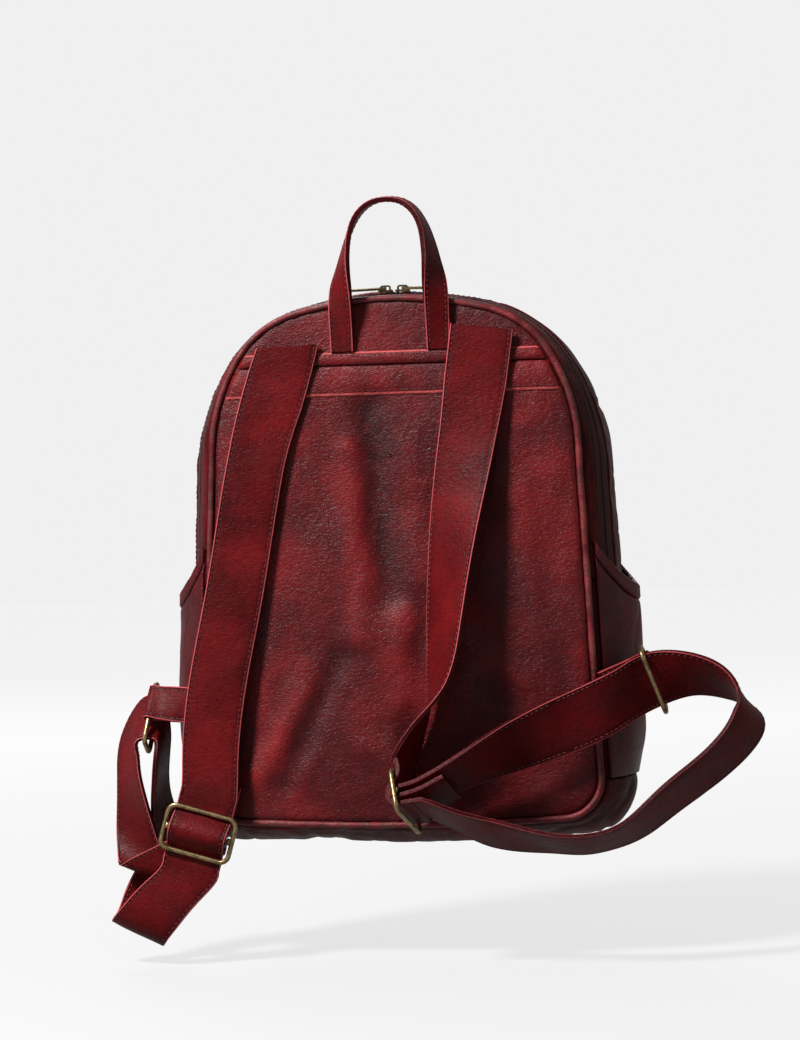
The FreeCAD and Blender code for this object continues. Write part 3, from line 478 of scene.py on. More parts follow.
def profile(half, wall):
    """Cross-section of a turned and stitched strap: (across, out, rim) round its outline."""
    h = wall / 2
    side = [(from_edge - half, h + lift, rim) for from_edge, lift, rim in (
        (0.1, -0.42, -0.8), (0.2, -0.1, 1), (0.6, 0.04, 1), (0.95, 0.03, 0), (1.7, 0.02, -0.6),
        (2.2, -0.14, -1), (2.8, 0.02, -0.4), (5, 0.06, 0), (half * 0.5, 0.1, 0))]
    face = side + [(0, h + 0.12, 0)] + [(-x, y, r) for x, y, r in reversed(side)]
    return face + [(-x, -y, r) for x, y, r in face]


def strap_mesh(centres, frames, widths, wall, seed, cup=0.25):
    """Parts of a leather band, cupped a little, with a painted rim and stitches along both edges."""
    rings = []
    for centre, side, out, wide in zip(centres, frames[1], frames[2], widths):
        for x, y, _ in profile(wide / 2, wall):
            share = 2 * x / wide
            point = centre + side * x
            swell = wander(point, 26, seed) * 0.35 * (1 - share * share) + wander(point, 9, seed + 2) * 0.07
            rings.append(point + out * (y + swell + cup * (1 - share * share) - cup / 2))
    shape = profile(widths[0] / 2, wall)
    # Painted light: the band lighter along its middle and darker towards its edges.
    marks = {"rim": [rim for _, _, rim in shape] * len(centres),
             "tone": [0.62 - 0.95 * abs(2 * x / widths[0]) ** 6 for x, _, _ in shape] * len(centres)}

    inset, pitch, size, clear_end = 2.2, 3.3, 2.3, 2.5
    run = length_along(centres)
    at = np.arange(clear_end, run[-1] - clear_end, pitch)
    along, side, out = (unit(sample(v, run, at)) for v in frames)
    from_middle = np.interp(at, run, widths)[:, None] / 2 - inset
    rows = [(sample(centres, run, at) + side * way * from_middle
             + out * (face * (wall / 2 + 0.02) - cup / 2 + cup * 0.22), along, side, out * face)
            for face in (1, -1) for way in (1, -1)]
    stitches = threads(*(np.stack(v, 1).reshape(-1, 3) for v in zip(*rows)), size)
    return [(np.array(rings), hose(len(centres), len(shape), inward=True), marks, 0), stitches]


# --- materials

class Nodes:
    """A node tree under construction."""

    def __init__(self, tree):
        self.tree = tree

    def feed(self, socket, value):
        if isinstance(value, bpy.types.NodeSocket):
            self.tree.links.new(value, socket)
        else:
            socket.default_value = value

    def add(self, kind, inputs, output=0, **settings):
        """Output of a new node."""
        node = self.tree.nodes.new("ShaderNode" + kind)
        for key, value in settings.items():
            setattr(node, key, value)
        for key, value in inputs.items():
            self.feed(node.inputs[key], value)
        return node.outputs[output]

    def sum(self, a, b, how="ADD"):
        return self.add("Math", {0: a, 1: b}, operation=how)

    def seen(self, levels):
        """How strongly a surface shows to camera, glossy and transmission rays."""
        total = 0
        for kind, level in zip(("Is Camera Ray", "Is Glossy Ray", "Is Transmission Ray"), levels):
            ray = self.add("LightPath", {}, kind)
            total = self.add("Math", {0: ray, 1: level, 2: total}, operation="MULTIPLY_ADD")
        return total


class Finish(Nodes):
    """A material under construction, in millimetres on the object's own place."""

    def __init__(self, name):
        self.stuff = bpy.data.materials.new(name)
        self.stuff.use_nodes = True
        super().__init__(self.stuff.node_tree)
        self.where = self.add("TexCoord", {}, "Object")

    def noise(self, size_mm, detail=4.0, rough=0.6, bend=0.0, stretch=None):
        place = self.where
        if stretch:
            place = self.add("Mapping", {"Vector": place, "Scale": stretch})
        return self.add("TexNoise", {"Vector": place, "Scale": 1 / (size_mm * MM), "Detail": detail,
                                     "Roughness": rough, "Distortion": bend})

    def span(self, value, low, high, to_low=0.0, to_high=1.0):
        return self.add("MapRange", {"Value": value, "From Min": low, "From Max": high, "To Min": to_low,
                                     "To Max": to_high})

    def mix(self, share, a, b):
        a, b = ((*v, 1) if isinstance(v, tuple) else v for v in (a, b))
        return self.add("Mix", {0: share, 6: a, 7: b}, 2, data_type="RGBA")

    def mark(self, name):
        return self.add("Attribute", {}, "Fac", attribute_name=name)

    def bump(self, height, distance_mm, strength=1.0, onto=None):
        inputs = {"Height": height, "Distance": distance_mm * MM, "Strength": strength}
        return self.add("Bump", inputs if onto is None else {**inputs, "Normal": onto})

    def put(self, **sockets):
        for name, value in sockets.items():
            self.feed(self.tree.nodes["Principled BSDF"].inputs[name.replace("_", " ")], value)
        return self.stuff


def tinted(colour, red, green=None, blue=None):
    """A colour times one number, or times one for each of its channels."""
    return tuple(c * k for c, k in zip(colour, (red, green or red, blue or red)))


def leather(name, dark, middle, bright, edge_paint, rough=(0.26, 0.42), grain=0.16, patch=55.0, gloss=0.25,
            crest_highlight=0.07):
    """Burgundy cowhide: dyed in clouds, grain drawn out sideways in fine wrinkles, painted rims, painted shade in
    folds, creases and wrinkle troughs, painted highlights on ridges and wrinkle crests, and painted sheen in greyer
    patches.
    """
    f = Finish(name)
    clouds = f.span(f.noise(patch, 4, 0.5, 0.3), 0.28, 0.72)
    sheen_patches = f.span(f.noise(patch * 0.55, 3, 0.55, 0.4), 0.42, 0.7)
    blotch = f.span(f.noise(6.5, 4, 0.7), 0.45, 0.8)
    wrinkle = f.noise(1.5, 4, 0.6, 0.9, (0.55, 0.55, 1))
    pebble = f.add("TexVoronoi", {"Vector": f.where, "Scale": 1 / (1.25 * MM), "Smoothness": 0.5},
                   "Distance", feature="SMOOTH_F1")
    # Painted light enters here. The point mark brings painted shade into creases, folds, seams and the sides, and
    # painted highlights onto ridges and rolls, on top of the clouds of dye.
    depth = f.sum(clouds, f.sum(f.mark("tone"), 0.8, "MULTIPLY"))
    dye_and_painted_light = f.mix(f.span(depth, -0.2, 0.62), dark, middle)
    dye_and_painted_light = f.mix(f.sum(f.span(depth, 0.4, 1.3), f.span(blotch, 0, 1, 0.0, 0.3)), dye_and_painted_light, bright)
    # Greyer patches are painted sheen, standing in for a haze of reflected light; the same patches also vary the
    # roughness.
    dye_and_painted_light = f.mix(f.sum(sheen_patches, 0.5, "MULTIPLY"), dye_and_painted_light, tinted(middle, 0.85, 7, 4))
    # Painted shade in the troughs of the fine wrinkles that the bump raises.
    dye_and_painted_light = f.mix(f.span(wrinkle, 0.5, 0.3, 0.0, 0.45), dye_and_painted_light, dark)
    dye_and_painted_light = f.mix(f.span(pebble, 0.5, 0.8, 0.0, 0.15), dye_and_painted_light, tinted(dark, 0.4))
    # Painted highlight: pinkish grey on the wrinkle crests, standing in for the sparkle of light on them.
    dye_and_painted_light = f.mix(f.span(wrinkle, 0.55, 0.76, 0.0, crest_highlight), dye_and_painted_light, tinted(middle, 2.6, 34, 18))
    rim = f.mark("rim")
    dye_and_painted_light = f.mix(f.span(rim, 0.25, 0.85), dye_and_painted_light, edge_paint)
    dye_and_painted_light = f.mix(f.span(rim, -0.35, -1.0, 0.0, 0.7), dye_and_painted_light, tinted(dark, 0.4))
    low = f.bump(f.noise(9, 3, 0.5, 1.2), 0.5, 0.5)
    drawn = f.bump(wrinkle, grain * 4.8, 0.8, low)
    skin = f.bump(pebble, grain * 1.1, 0.6, drawn)
    fine = f.bump(f.noise(0.6, 3, 0.7), grain * 0.4, 0.7, skin)
    return f.put(Base_Color=dye_and_painted_light, Roughness=f.span(sheen_patches, 0, 1, rough[1], rough[0]), Normal=fine,
                 Specular_IOR_Level=gloss)


def brass(name):
    """Antique brass: browned in patches, rubbed to a duller gold elsewhere, with fine scratches."""
    f = Finish(name)
    wear = f.span(f.noise(5, 5, 0.65, 0.4), 0.35, 0.68)
    speck = f.span(f.noise(0.9, 3, 0.6), 0.5, 0.75)
    metal = f.mix(wear, (0.13, 0.08, 0.036), (0.46, 0.34, 0.165))
    metal = f.mix(f.sum(speck, 0.5, "MULTIPLY"), metal, (0.7, 0.56, 0.33))
    scratch = f.noise(0.7, 3, 0.7, 0, (1, 6, 1))
    face = f.bump(scratch, 0.05, 0.5, f.bump(f.noise(2.6, 3, 0.6), 0.12, 0.5))
    return f.put(Base_Color=metal, Metallic=0.92, Roughness=f.span(wear, 0, 1, 0.42, 0.25), Normal=face)


def woven(name, dark, light, thread_mm):
    """Close plain weave with slubs and a little fading."""
    f = Finish(name)
    inputs = {"Vector": f.where, "Scale": 1 / (thread_mm * MM) / 2, "Distortion": 0.6, "Detail": 1}
    weave = f.sum(*(f.add("TexWave", inputs, "Fac", bands_direction=way) for way in "XZ"), "MULTIPLY")
    fade = f.span(f.noise(14, 4, 0.6), 0.3, 0.7)
    cloth = f.mix(f.sum(f.span(weave, 0, 1, 0.1, 0.7), f.sum(fade, 0.3, "MULTIPLY")), dark, light)
    face = f.bump(weave, 0.15, 0.8, f.bump(f.noise(0.5), 0.05))
    return f.put(Base_Color=cloth, Roughness=0.85, Normal=face)


def waxed_thread(name, colour):
    f = Finish(name)
    twist = f.noise(0.5, 2, 0.5, 0, (1, 1, 3))
    shade = f.mix(f.span(f.noise(9, 3), 0.3, 0.7), tinted(colour, 0.6), colour)
    face = f.bump(twist, 0.1, 0.6)
    return f.put(Base_Color=shade, Roughness=f.span(twist, 0.3, 0.7, 0.4, 0.6), Normal=face)


def coil_plastic(name):
    f = Finish(name)
    dust = f.noise(3, 4, 0.7)
    shade = f.mix(f.span(dust, 0.35, 0.7), (0.045, 0.006, 0.01), (0.14, 0.02, 0.028))
    face = f.bump(f.noise(0.6), 0.05, 0.6)
    return f.put(Base_Color=shade, Roughness=f.span(dust, 0.3, 0.7, 0.3, 0.5), Normal=face)


BAG = leather("bag_leather", (0.034, 0.0007, 0.0015), (0.125, 0.0022, 0.0045), (0.29, 0.013, 0.015),
              (0.62, 0.1, 0.1))
GUSSET = leather("gusset_leather", (0.034, 0.0007, 0.0015), (0.115, 0.002, 0.004), (0.26, 0.011, 0.013),
                 (0.5, 0.07, 0.075), gloss=0.07)
STRAP = leather("strap_leather", (0.024, 0.0006, 0.0012), (0.076, 0.0014, 0.0027), (0.175, 0.0065, 0.008),
                (0.62, 0.1, 0.11), (0.28, 0.42), 0.1, 40.0, 0.11, 0.03)
CORD = leather("piping_leather", (0.05, 0.002, 0.004), (0.155, 0.01, 0.014), (0.32, 0.04, 0.043),
               (0.42, 0.075, 0.08), (0.3, 0.46), 0.1, 20.0, 0.3, 0.04)
BRASS = brass("antique_brass")
TAPE = woven("zip_tape", (0.02, 0.0012, 0.002), (0.1, 0.008, 0.012), 0.5)
LINING = woven("lining_cloth", (0.07, 0.045, 0.04), (0.2, 0.14, 0.12), 0.45)
COIL = coil_plastic("zip_coil")
THREAD = waxed_thread("thread", (0.24, 0.03, 0.034))
LOOKS = {"bag_leather": (BAG, THREAD), "strap_leather": (STRAP, THREAD), "piping_leather": (CORD,),
         "antique_brass": (BRASS,), "zip_tape": (TAPE,), "zip_coil": (COIL,)}

# --- main compartment

def shape_skin(name, grid, out, seam=None):
    """Gusset leather over a smooth grid, slack away from its seams, and stitched along a depth."""
    normal = grid_normals(grid) * out
    run = length_along(grid[:, grid.shape[1] // 2])
    tone = np.zeros(grid.shape[:2])
    low, high = grid[:, 0, 1].min(), grid[:, -1, 1].max()
    column = None if seam is None else np.argmin(np.abs(grid[len(grid) // 2, :, 1] - seam))
    for i, j in np.ndindex(tone.shape):
        p = grid[i, j].copy()
        from_edge, from_end = min(p[1] - low, high - p[1]), min(run[i], run[-1] - run[i])
        calm = min(1.0, from_edge / 9) * min(1.0, from_end / 6 + 0.1)
        crease = ridge(p, 46, 3, (1, 1.6, 1)) * 1.1 + ridge(p, 21, 5, (1, 2.2, 0.8)) * 0.45
        sag = wander(p, 60, 1) * 1.1 + wander(p, 22, 2) * 0.45 - crease
        pucker = sin(run[i] / 3.4 + wander(p, 30, 6) * 5) * 0.28
        pucker *= exp(-from_edge / 5) * min(1, from_edge)
        grid[i, j] = p + normal[i, j] * (sag * calm + pucker + dip(from_edge) + dip(from_end, 2.5, 1.0))
        # Painted shade: a little darker all over, as sides and base turned from the light, darker in the creases and
        # next to the seams; the wander is random tone.
        tone[i, j] = (-0.22 - 0.5 * crease + 0.25 * wander(p, 30, 4)) * calm - 0.5 * max(0, 1 - from_edge / 3)
    parts = [thick(grid, LEATHER, out, tone)]
    if seam is not None:
        parts.append(sewing(grid[:, column], grid_normals(grid)[:, column] * out))
    piece(name, parts, materials=(GUSSET, THREAD))


def skin(name, depths, level, upper, count, seam=None):
    grid = np.stack([np.insert(cut_path(y, 0, level, upper, count), 1, y, 1) for y in depths], 1)
    shape_skin(name, grid, 1 if upper else -1, seam)


coil_low, coil_high = ZIP_Y - COIL_W / 2, ZIP_Y + COIL_W / 2
tape_low, tape_high = coil_low - TAPE_W, coil_high + TAPE_W
strip_back, strip_front, seam_in = tape_low - SEAM_GAP, tape_high + SEAM_GAP, 1.9
gusset_depths = np.linspace(EDGE, DEPTH - EDGE, 44)
skin("zip_strip_back", np.linspace(EDGE, strip_back, 9), ZIP_END + SEAM_GAP, True, 300, strip_back - seam_in)
skin("zip_strip_front", np.linspace(strip_front, DEPTH - EDGE, 34), ZIP_END + SEAM_GAP, True, 300,
     strip_front + seam_in)
skin("base_gusset", gusset_depths, BASE_SEAM - SEAM_GAP, False, 200)
for side_name, side in SIDES:
    levels = np.linspace(ZIP_END - SEAM_GAP, BASE_SEAM + SEAM_GAP, 56)
    wall_grid = np.array([[(side * reach(y, z), y, z) for y in gusset_depths] for z in levels])
    shape_skin("side_gusset_" + side_name, wall_grid, side)

# --- back and front panels

def cushion(name, rim, heart, shares, y, out, way, wall, slack):
    """Soft panel of rings from its rim (x, z) in to its heart line. Out is its side of the bag, way is -1
    where its rings make inward normals, and slack(i, x, z, away) gives how far a point away from the rim
    stands out, and its tone."""
    grid, tone = blank(len(rim), len(shares))
    for i, j in np.ndindex(tone.shape):
        inward = heart[i] - rim[i]
        x, z = rim[i] + inward * shares[j]
        rise, tone[i, j] = slack(i, x, z, shares[j] * np.linalg.norm(inward))
        grid[i, j] = (x, y + out * rise, z)
    thing = piece(name, [thick(grid, wall, way, tone, True, True)])
    work = bmesh.new()
    work.from_mesh(thing.data)
    bmesh.ops.remove_doubles(work, verts=work.verts, dist=0.02 * MM)
    bmesh.ops.dissolve_degenerate(work, edges=work.edges, dist=0.005 * MM)
    work.to_mesh(thing.data)
    work.free()
    return thing, grid


def panel(name, y, out, puff, folds, calm_top=0.0):
    """Back or front panel, kept quiet down to calm_top, where the yoke lies on it."""
    def slack(i, x, z, away):
        p = (x, y, z)
        full = 1 - exp(-away / 26)
        quiet = min(1.0, max(0.0, (-z - calm_top) / 30)) if calm_top else 1.0
        hang = 0.45 + 0.55 * min(1.0, (-z - BAG_DROP) / 210)
        crease = ridge(p, 60, 11, (1, 1, 1.9)) * 0.4 + ridge(p, 27, 12, (1, 1, 1.5)) * 0.08
        fold = fold_field(folds, x, z)
        soft = wander(p, 75, 13) + wander(p, 26, 14) * 0.35 + wander(p, 10, 15) * 0.12
        pucker = sin(i * 1.35 + wander(p, 25, 6) * 4) * 0.2 * exp(-away / 6) * min(1, away)
        loose = (soft + fold - crease) * min(1.0, away / 14) * quiet
        # Second value: painted shade in creases and fold valleys, painted highlight on fold ridges, painted shade
        # within 4 mm of the rim, and random tone.
        return (puff * hang * full + loose + pucker + dip(away, 4.0, 0.9),
                -0.3 * crease + 0.3 * fold + 0.15 * wander(p, 34, 16) - 0.6 * max(0, 1 - away / 4))

    rim = resample(outline(0, HUG - TUCK), 420, True)
    from_ends = 95
    heights = np.clip(rim[:, 1], -BAG_DROP - PANEL_HEIGHT + from_ends, -BAG_DROP - from_ends)
    spine = np.stack([rim[:, 0] * 0, heights], 1)
    shares = np.concatenate([np.linspace(0, 0.09, 8), np.linspace(0.105, 1, 62)])
    return cushion(name, rim, spine, shares, y, out, out, PANEL, slack)


# Soft folds: from (x, z) to (x, z), half width, height.
BACK_FOLDS = [
    (-14, -124, -4, -240, 10, -2.8), (12, -150, 15, -228, 9, 0.7), (-27, -150, -22, -262, 9, 1.7),
    (2, -252, 6, -300, 11, 1.8), (18, -240, 4, -330, 8, -1.3), (-36, -276, -72, -352, 8, -2.5),
    (-58, -300, -86, -345, 9, 2.0), (60, -300, 84, -345, 11, -1.3), (74, -180, 96, -262, 10, 1.2),
    (88, -215, 101, -300, 7, -1.2), (-20, -330, 40, -352, 9, 1.4), (-98, -170, -104, -250, 8, 0.9),
    (38, -268, 76, -292, 8, 1.0)]
FRONT_FOLDS = [
    (-50, -120, -70, -210, 12, -1.6), (30, -110, 62, -205, 12, -1.4), (0, -150, 8, -215, 14, 1.4)]
back_panel, back_grid = panel("back_panel", 0.4, -1, 3.6, BACK_FOLDS, 96)
front_panel, _ = panel("front_panel", DEPTH - 0.4, 1, 4.0, FRONT_FOLDS)
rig.padded(back_panel, 0.35)
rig.padded(front_panel, 0.3)

for end, y in (("back", PIPING - 0.8), ("front", DEPTH - PIPING + 0.8)):
    line = np.insert(resample(outline(y, 0.5), 620, True), 1, y, 1)
    for p in line:
        p[1] += wander(p, 40, 21) * 0.35
        p[[0, 2]] += 0.25 * wander(p, 23, 22)
    piping(end + "_piping", line, 23)

# --- yoke and pocket welt

def ground(x, z):
    """How far the back panel's skin stands at a place, as a y."""
    flat = back_grid.reshape(-1, 3)
    return flat[np.argmin((flat[:, 0] - x) ** 2 + (flat[:, 2] - z) ** 2), 1]


def across_panel(name, high, low, wall, swell, rows, stitch_at, painted):
    """Band of leather right across the back panel between two heights, with one row of stitches and
    some rows of points painted as its cut edge."""
    columns = 160
    grid, tone = blank(columns, rows)
    rim = np.zeros((columns, rows))
    rim[:, painted] = 1
    for j, z in enumerate(np.linspace(high, low, rows)):
        half = reach(0, z, HUG + 0.3)
        share = (j / (rows - 1)) * 2 - 1
        roll = (1 - share ** 4) ** 0.5 if abs(share) < 1 else 0
        for i, x in enumerate(np.linspace(-half, half, columns)):
            p = (x, 0, z)
            rise = (wall * (0.35 + 0.65 * roll) + swell * (1 - share * share)
                    + wander(p, 34, 31) * 0.25 * (1 - share ** 4))
            rise += sin(x / 2.1) * 0.1 * (abs(share) > 0.4) - 1.2 * max(0, 1 - (half - abs(x)) / 5) ** 2
            grid[i, j] = (x, ground(x, z) * 0.9 - rise, z)
            # Painted highlight along the band's rolled middle and painted shade where it turns in at its edges, with
            # random tone.
            tone[i, j] = 0.12 * wander(p, 12, 32) + 0.12 * (1 - share * share) - 0.35 * (abs(share) > 0.85)
    band = thick(grid, wall * 0.9, -1, tone)
    band[2]["rim"] = np.tile(rim.reshape(-1), 2)
    piece(name, [band, sewing(grid[:, stitch_at], -grid_normals(grid)[:, stitch_at], 4)])


across_panel("pocket_welt", YOKE_TOP, YOKE_TOP - WELT + 0.1, 1.3, 0.9, 13, 3, [0, 1])
across_panel("back_yoke", YOKE_TOP - WELT, YOKE_FOOT, 1.0, 0.7, 25, 20, [22, 23, 24])

# --- side pockets
MOUTH, SAG, STAND, POCKET_WALL, CURVE, BAND = -236.0, 29.0, 8.0, 1.6, 45.0, 9.5
seam_back, seam_front = EDGE + 2, DEPTH - EDGE - 2
mouth_radius = ((DEPTH / 2 - seam_back) ** 2 + SAG ** 2) / (2 * SAG)


def mouth_level(y, lower_by=0.0):
    return MOUTH - lower_by + mouth_radius - sqrt(mouth_radius ** 2 - (y - DEPTH / 2) ** 2)


def pocket_skin(side, y, z, extra):
    """Point on the outside of a side pocket, and its tone."""
    foot = sin(min(1.0, max(0.0, (z - BASE_SEAM) / CURVE)) * pi / 2)
    lift = 0.3 + (STAND - 0.3) * foot
    share = (y - seam_back) / (seam_front - seam_back) * 2 - 1
    ends = reach(seam_back, z) + 0.3 + POCKET_WALL
    middle = reach(DEPTH / 2, z) + lift + POCKET_WALL
    p = (side * middle, y, z)
    gather = exp(-abs(z - mouth_level(y, BAND)) / 16) * 0.45 * sin((y + wander(p, 40, 41) * 6) / 5.2)
    crease = ridge(p, 30, 42, (1, 1, 2.0)) * 0.7
    soft = (wander(p, 30, 43) * 0.8 + gather - crease) * min(1.0, 2.2 * (1 - abs(share)))
    width = ends + (middle - ends) * (1 - share * share) + soft * foot + extra
    # Painted shade in the creases and painted highlight on the outward bumps of the gathers.
    return (side * width, y, z), -0.45 * crease + 0.3 * gather


for side_name, side in SIDES:
    depths = np.linspace(seam_back, seam_front, 46)
    grid, tone = blank(len(depths), 52)
    for i, y in enumerate(depths):
        top = mouth_level(y, BAND)
        for j, z in enumerate(np.linspace(top - 0.1, BASE_SEAM + 0.2, 52)):
            grid[i, j], tone[i, j] = pocket_skin(side, y, z, -0.9 * exp(-abs(z - top) / 1.2))
    piece("side_pocket_" + side_name, [thick(grid, POCKET_WALL, -side, tone)])
    grid, tone = blank(len(depths), 11)
    for (i, y), (j, share) in product(enumerate(depths), enumerate(np.linspace(0, 1, 11))):
        roll = 1 - (2 * share - 1) ** 6
        grid[i, j], _ = pocket_skin(side, y, mouth_level(y, BAND * share) - 0.05, -0.5 + 0.9 * roll)
        # Painted highlight along the rolled top of the band and painted shade at its edges, with random tone.
        tone[i, j] = 0.3 * roll - 0.15 + 0.2 * wander(grid[i, j], 10, 44)
    stitches = [sewing(grid[:, k], grid_normals(grid)[:, k] * -side) for k in (2, 8)]
    piece("side_pocket_band_" + side_name, [thick(grid, POCKET_WALL + 0.7, -side, tone)] + stitches)

# --- handle and straps

def strap(name, rows, widths=None, wall=STRAP_T, body="bag", spacing=3.0, square=True, curved=True, seed=7,
          cup=0.25):
    centres, across, wide = stations_along(rows, widths, spacing, curved)
    frames = band_frames(centres, across, square)
    return piece(name, strap_mesh(centres, frames, wide, wall, seed, cup), "strap_leather", body)


SPREAD, GRIP, HANDLE_W, HANDLE_FOOT, HANDLE_T = 29.5, 1.5, 20.0, 14.0, 3.0
# Place, across vector, and share of the full width.
left_leg = [
    ((-SPREAD, -2.2, YOKE_TOP + 0.2), (1, 0, 0), 0.0),
    ((-SPREAD, -3.6, -75), (0.98, -0.12, 0), 0.1),
    ((-SPREAD + 0.5, -6.4, -56), (0.87, -0.45, 0), 0.3),
    ((-SPREAD + 2, -5.5, -40), (0.5, -0.86, 0), 0.7),
    ((-SPREAD + 5.5, -3, -21), (0.2, -0.98, 0), 1.0),
    ((-SPREAD + 12, -2, -6.5), (0.05, -0.99, -0.1), 1.0),
    ((-SPREAD + 21, -1, -0.2 + GRIP / 2), (0, -0.99, -0.12), 1.0)]
crown = [((0, -1, GRIP + 0.4), (0, -0.99, -0.12), 1.0)]
right_leg = [((-x, y, z), (-a, b, c), share) for (x, y, z), (a, b, c), share in reversed(left_leg)]
rows = left_leg + crown + right_leg
widths = [HANDLE_FOOT + (HANDLE_W - HANDLE_FOOT) * share for _, _, share in rows]
strap("carry_handle", rows, widths, HANDLE_T, spacing=2.0, seed=3, cup=0.1)


class Glide:
    """Place of a three-bar strap adjuster: across its bars, down the strap and outward."""

    def __init__(self, centre, across, down):
        self.centre, across, down = (np.array(v, float) for v in (centre, across, down))
        self.down = unit(down)
        self.across = unit(across - self.down * across.dot(self.down))
        self.out = np.cross(self.down, self.across)

    def rows(self, places):
        """Rows of a strap from how far down and how far out each is."""
        return [(self.centre + self.down * down + self.out * out, self.across) for down, out in places]


GLIDES = {
    "left": Glide((-124, -14, -380.5), (0.961, 0, -0.277), (-0.277, 0, -0.961)),
    "right": Glide((6, -30.5, -361), (-0.20, -0.88, 0.43), (0.19, -0.47, -0.86))}
FIT, OVERLAP = 0.3, 0.6
by_bar = WIRE + FIT + STRAP_T / 2
over_bar = by_bar + FIT + STRAP_T
bar_pitch = ADJUSTER_WIDE / 2 - WIRE
entry = bar_pitch + 7

# The straps as they hang: each row is a place and the vector across.
UPPER = {"left": [
    (-62.8, -4.2, -85.5, 1, 0, 0.03), (-73, -4.6, -118, 0.953, 0, -0.3), (-83, -5.5, -152, 0.965, 0, -0.25),
    (-98, -7, -230, 0.975, 0, -0.2), (-108.5, -9, -280, 0.975, 0, -0.2),
    (-115.5, -10.5, -328, 0.965, 0, -0.23)], "right": [
    (56.4, -4.2, -77.6, 1, 0, -0.07), (52, -5, -108.5, 1, -0.03, -0.03), (46.9, -7, -140.4, 1, -0.12, 0.05),
    (39, -11.5, -187, 0.9, -0.43, 0), (34.8, -15, -218, 0.8, -0.6, 0), (31.3, -20, -253, 0.68, -0.73, 0.03),
    (25.5, -24.5, -292, 0.47, -0.8, 0.36), (13, -22.5, -318, 0.1, -0.87, 0.44)]}
LOOP = {"left": [
    (-143.7, -12.5, -418, 0.94, 0, -0.34), (-156, -12.5, -431.5, 0.91, 0, -0.42),
    (-163.3, -8, -439.5, 0.9, 0, -0.44), (-165.9, 0, -442, 0.9, 0, -0.44),
    (-164.5, 8, -438, 0.9, 0.03, -0.44), (-160, 15, -424, 0.86, 0.28, -0.43),
    (-154, 22.5, -404, 0.62, 0.72, -0.3), (-151.5, 22.5, -384, 0.36, 0.92, -0.15),
    (-153.5, 19, -364, 0.12, 0.99, 0), (-153.5, 16.5, -348, 0.04, 0.99, 0.1),
    (-151.5, 14.5, -331, 0.06, 0.95, 0.28), (-151.5, 14.5, -320, 0.03, 0.86, 0.5),
    (-153.7, 14.1, -313.2, -0.05, 0.735, 0.675), (-158, 13.8, -311.1, -0.13, 0.70, 0.70),
    (-165.3, 14, -313.4, -0.1, 0.76, 0.64), (-168.8, 13, -322, -0.3, 0.78, 0.55),
    (-171.3, 12, -334, -0.5, 0.78, 0.37), (-171, 10.5, -348, -0.6, 0.76, 0.24),
    (-168.5, 9, -366, -0.72, 0.63, 0.28), (-166, 8, -384, -0.85, 0.4, 0.33),
    (-163, 5.5, -399, -0.93, 0.12, 0.34), (-160.5, 1, -406, -0.94, 0, 0.34),
    (-155, -3, -404, -0.94, 0, 0.34), (-141, -4.5, -397, -0.945, 0, 0.32)], "right": [
    (37, -33.5, -372.5, -0.13, -0.87, 0.47), (61.6, -32, -381.4, 0.05, -0.85, 0.53),
    (93.3, -32, -386.8, -0.13, -0.9, 0.41), (116, -31.5, -387.5, -0.07, -0.92, 0.39),
    (140, -28, -380, -0.2, -0.9, 0.35), (162, -21, -363.5, -0.22, -0.85, 0.47),
    (185.7, -12.5, -346, -0.34, -0.84, 0.42), (204.5, -5, -328, -0.42, -0.8, 0.42),
    (211, 0, -313, -0.42, -0.75, 0.52), (201.5, 5.5, -299.5, -0.3, -0.72, 0.62),
    (179, 9, -290.5, -0.1, -0.68, 0.72), (153.5, 8, -293, -0.2, -0.35, 0.91),
    (136, -2, -301.5, -0.08, -0.25, 0.96), (119, -11, -310.5, -0.08, -0.12, 0.99),
    (98, -18, -319, 0.03, -0.2, 0.98), (67, -24, -331.5, 0.1, -0.5, 0.86),
    (38, -28.5, -345, 0.05, -0.78, 0.62)]}
# How far down and out from the adjuster's middle the straps pass near it.
ARRIVES = {
    "left": [(-entry - 5, -by_bar), (-entry, -by_bar)], "right": [(-entry - 3, -by_bar), (-entry, -by_bar)]}
LEAVES = {
    "left": [(7.2, 1), (bar_pitch - 1.3, -by_bar - 0.1), (entry + OVERLAP, -by_bar - 0.3)],
    "right": [(6.4, 2.6), (8, -3), (8.6, -9)]}
LOOP_STARTS = {
    "left": [(entry - OVERLAP, -by_bar - 0.3), (entry + 5, -by_bar - 0.5)],
    "right": [(8.6, -9.3), (8.8, -12)]}
LOOP_ENDS = {"left": [(9.3, -8.3)], "right": [(-3.2, -13), (-by_bar, -8.3)]}
LEADS = {"left": [(9, -8.3), (5.4, -7.8), (3.2, -5)], "right": [(-by_bar, -8), (-by_bar, -4.5)]}
TAILS = {
    "left": [(-4.4, -6.8), (-9, -7.6), (-20, -7.6), (-33, -7)],
    "right": [(2.9, -9), (2.6, -14), (1, -21), (-1, -30)]}
# Where each loop is parted into the length that the adjuster carries and the length in the ring, and
# between which places each length is blended.
RING_RUN = {"left": ((-153.5, 16.5, -348), (-171, 10.5, -348)), "right": ((204.5, -5, -328), (98, -18, -319))}
BLENDS = {
    "ring": {"left": ((-162, 13.5, -348), (-158, 13.8, -311)),
             "right": ((153.3, -11.3, -323.7), (153.5, 8, -293))},
    "lower": {"left": ((-160, 10, -346), (-146, -8, -396)), "right": ((96, -22, -340), (34, -30, -362))}}


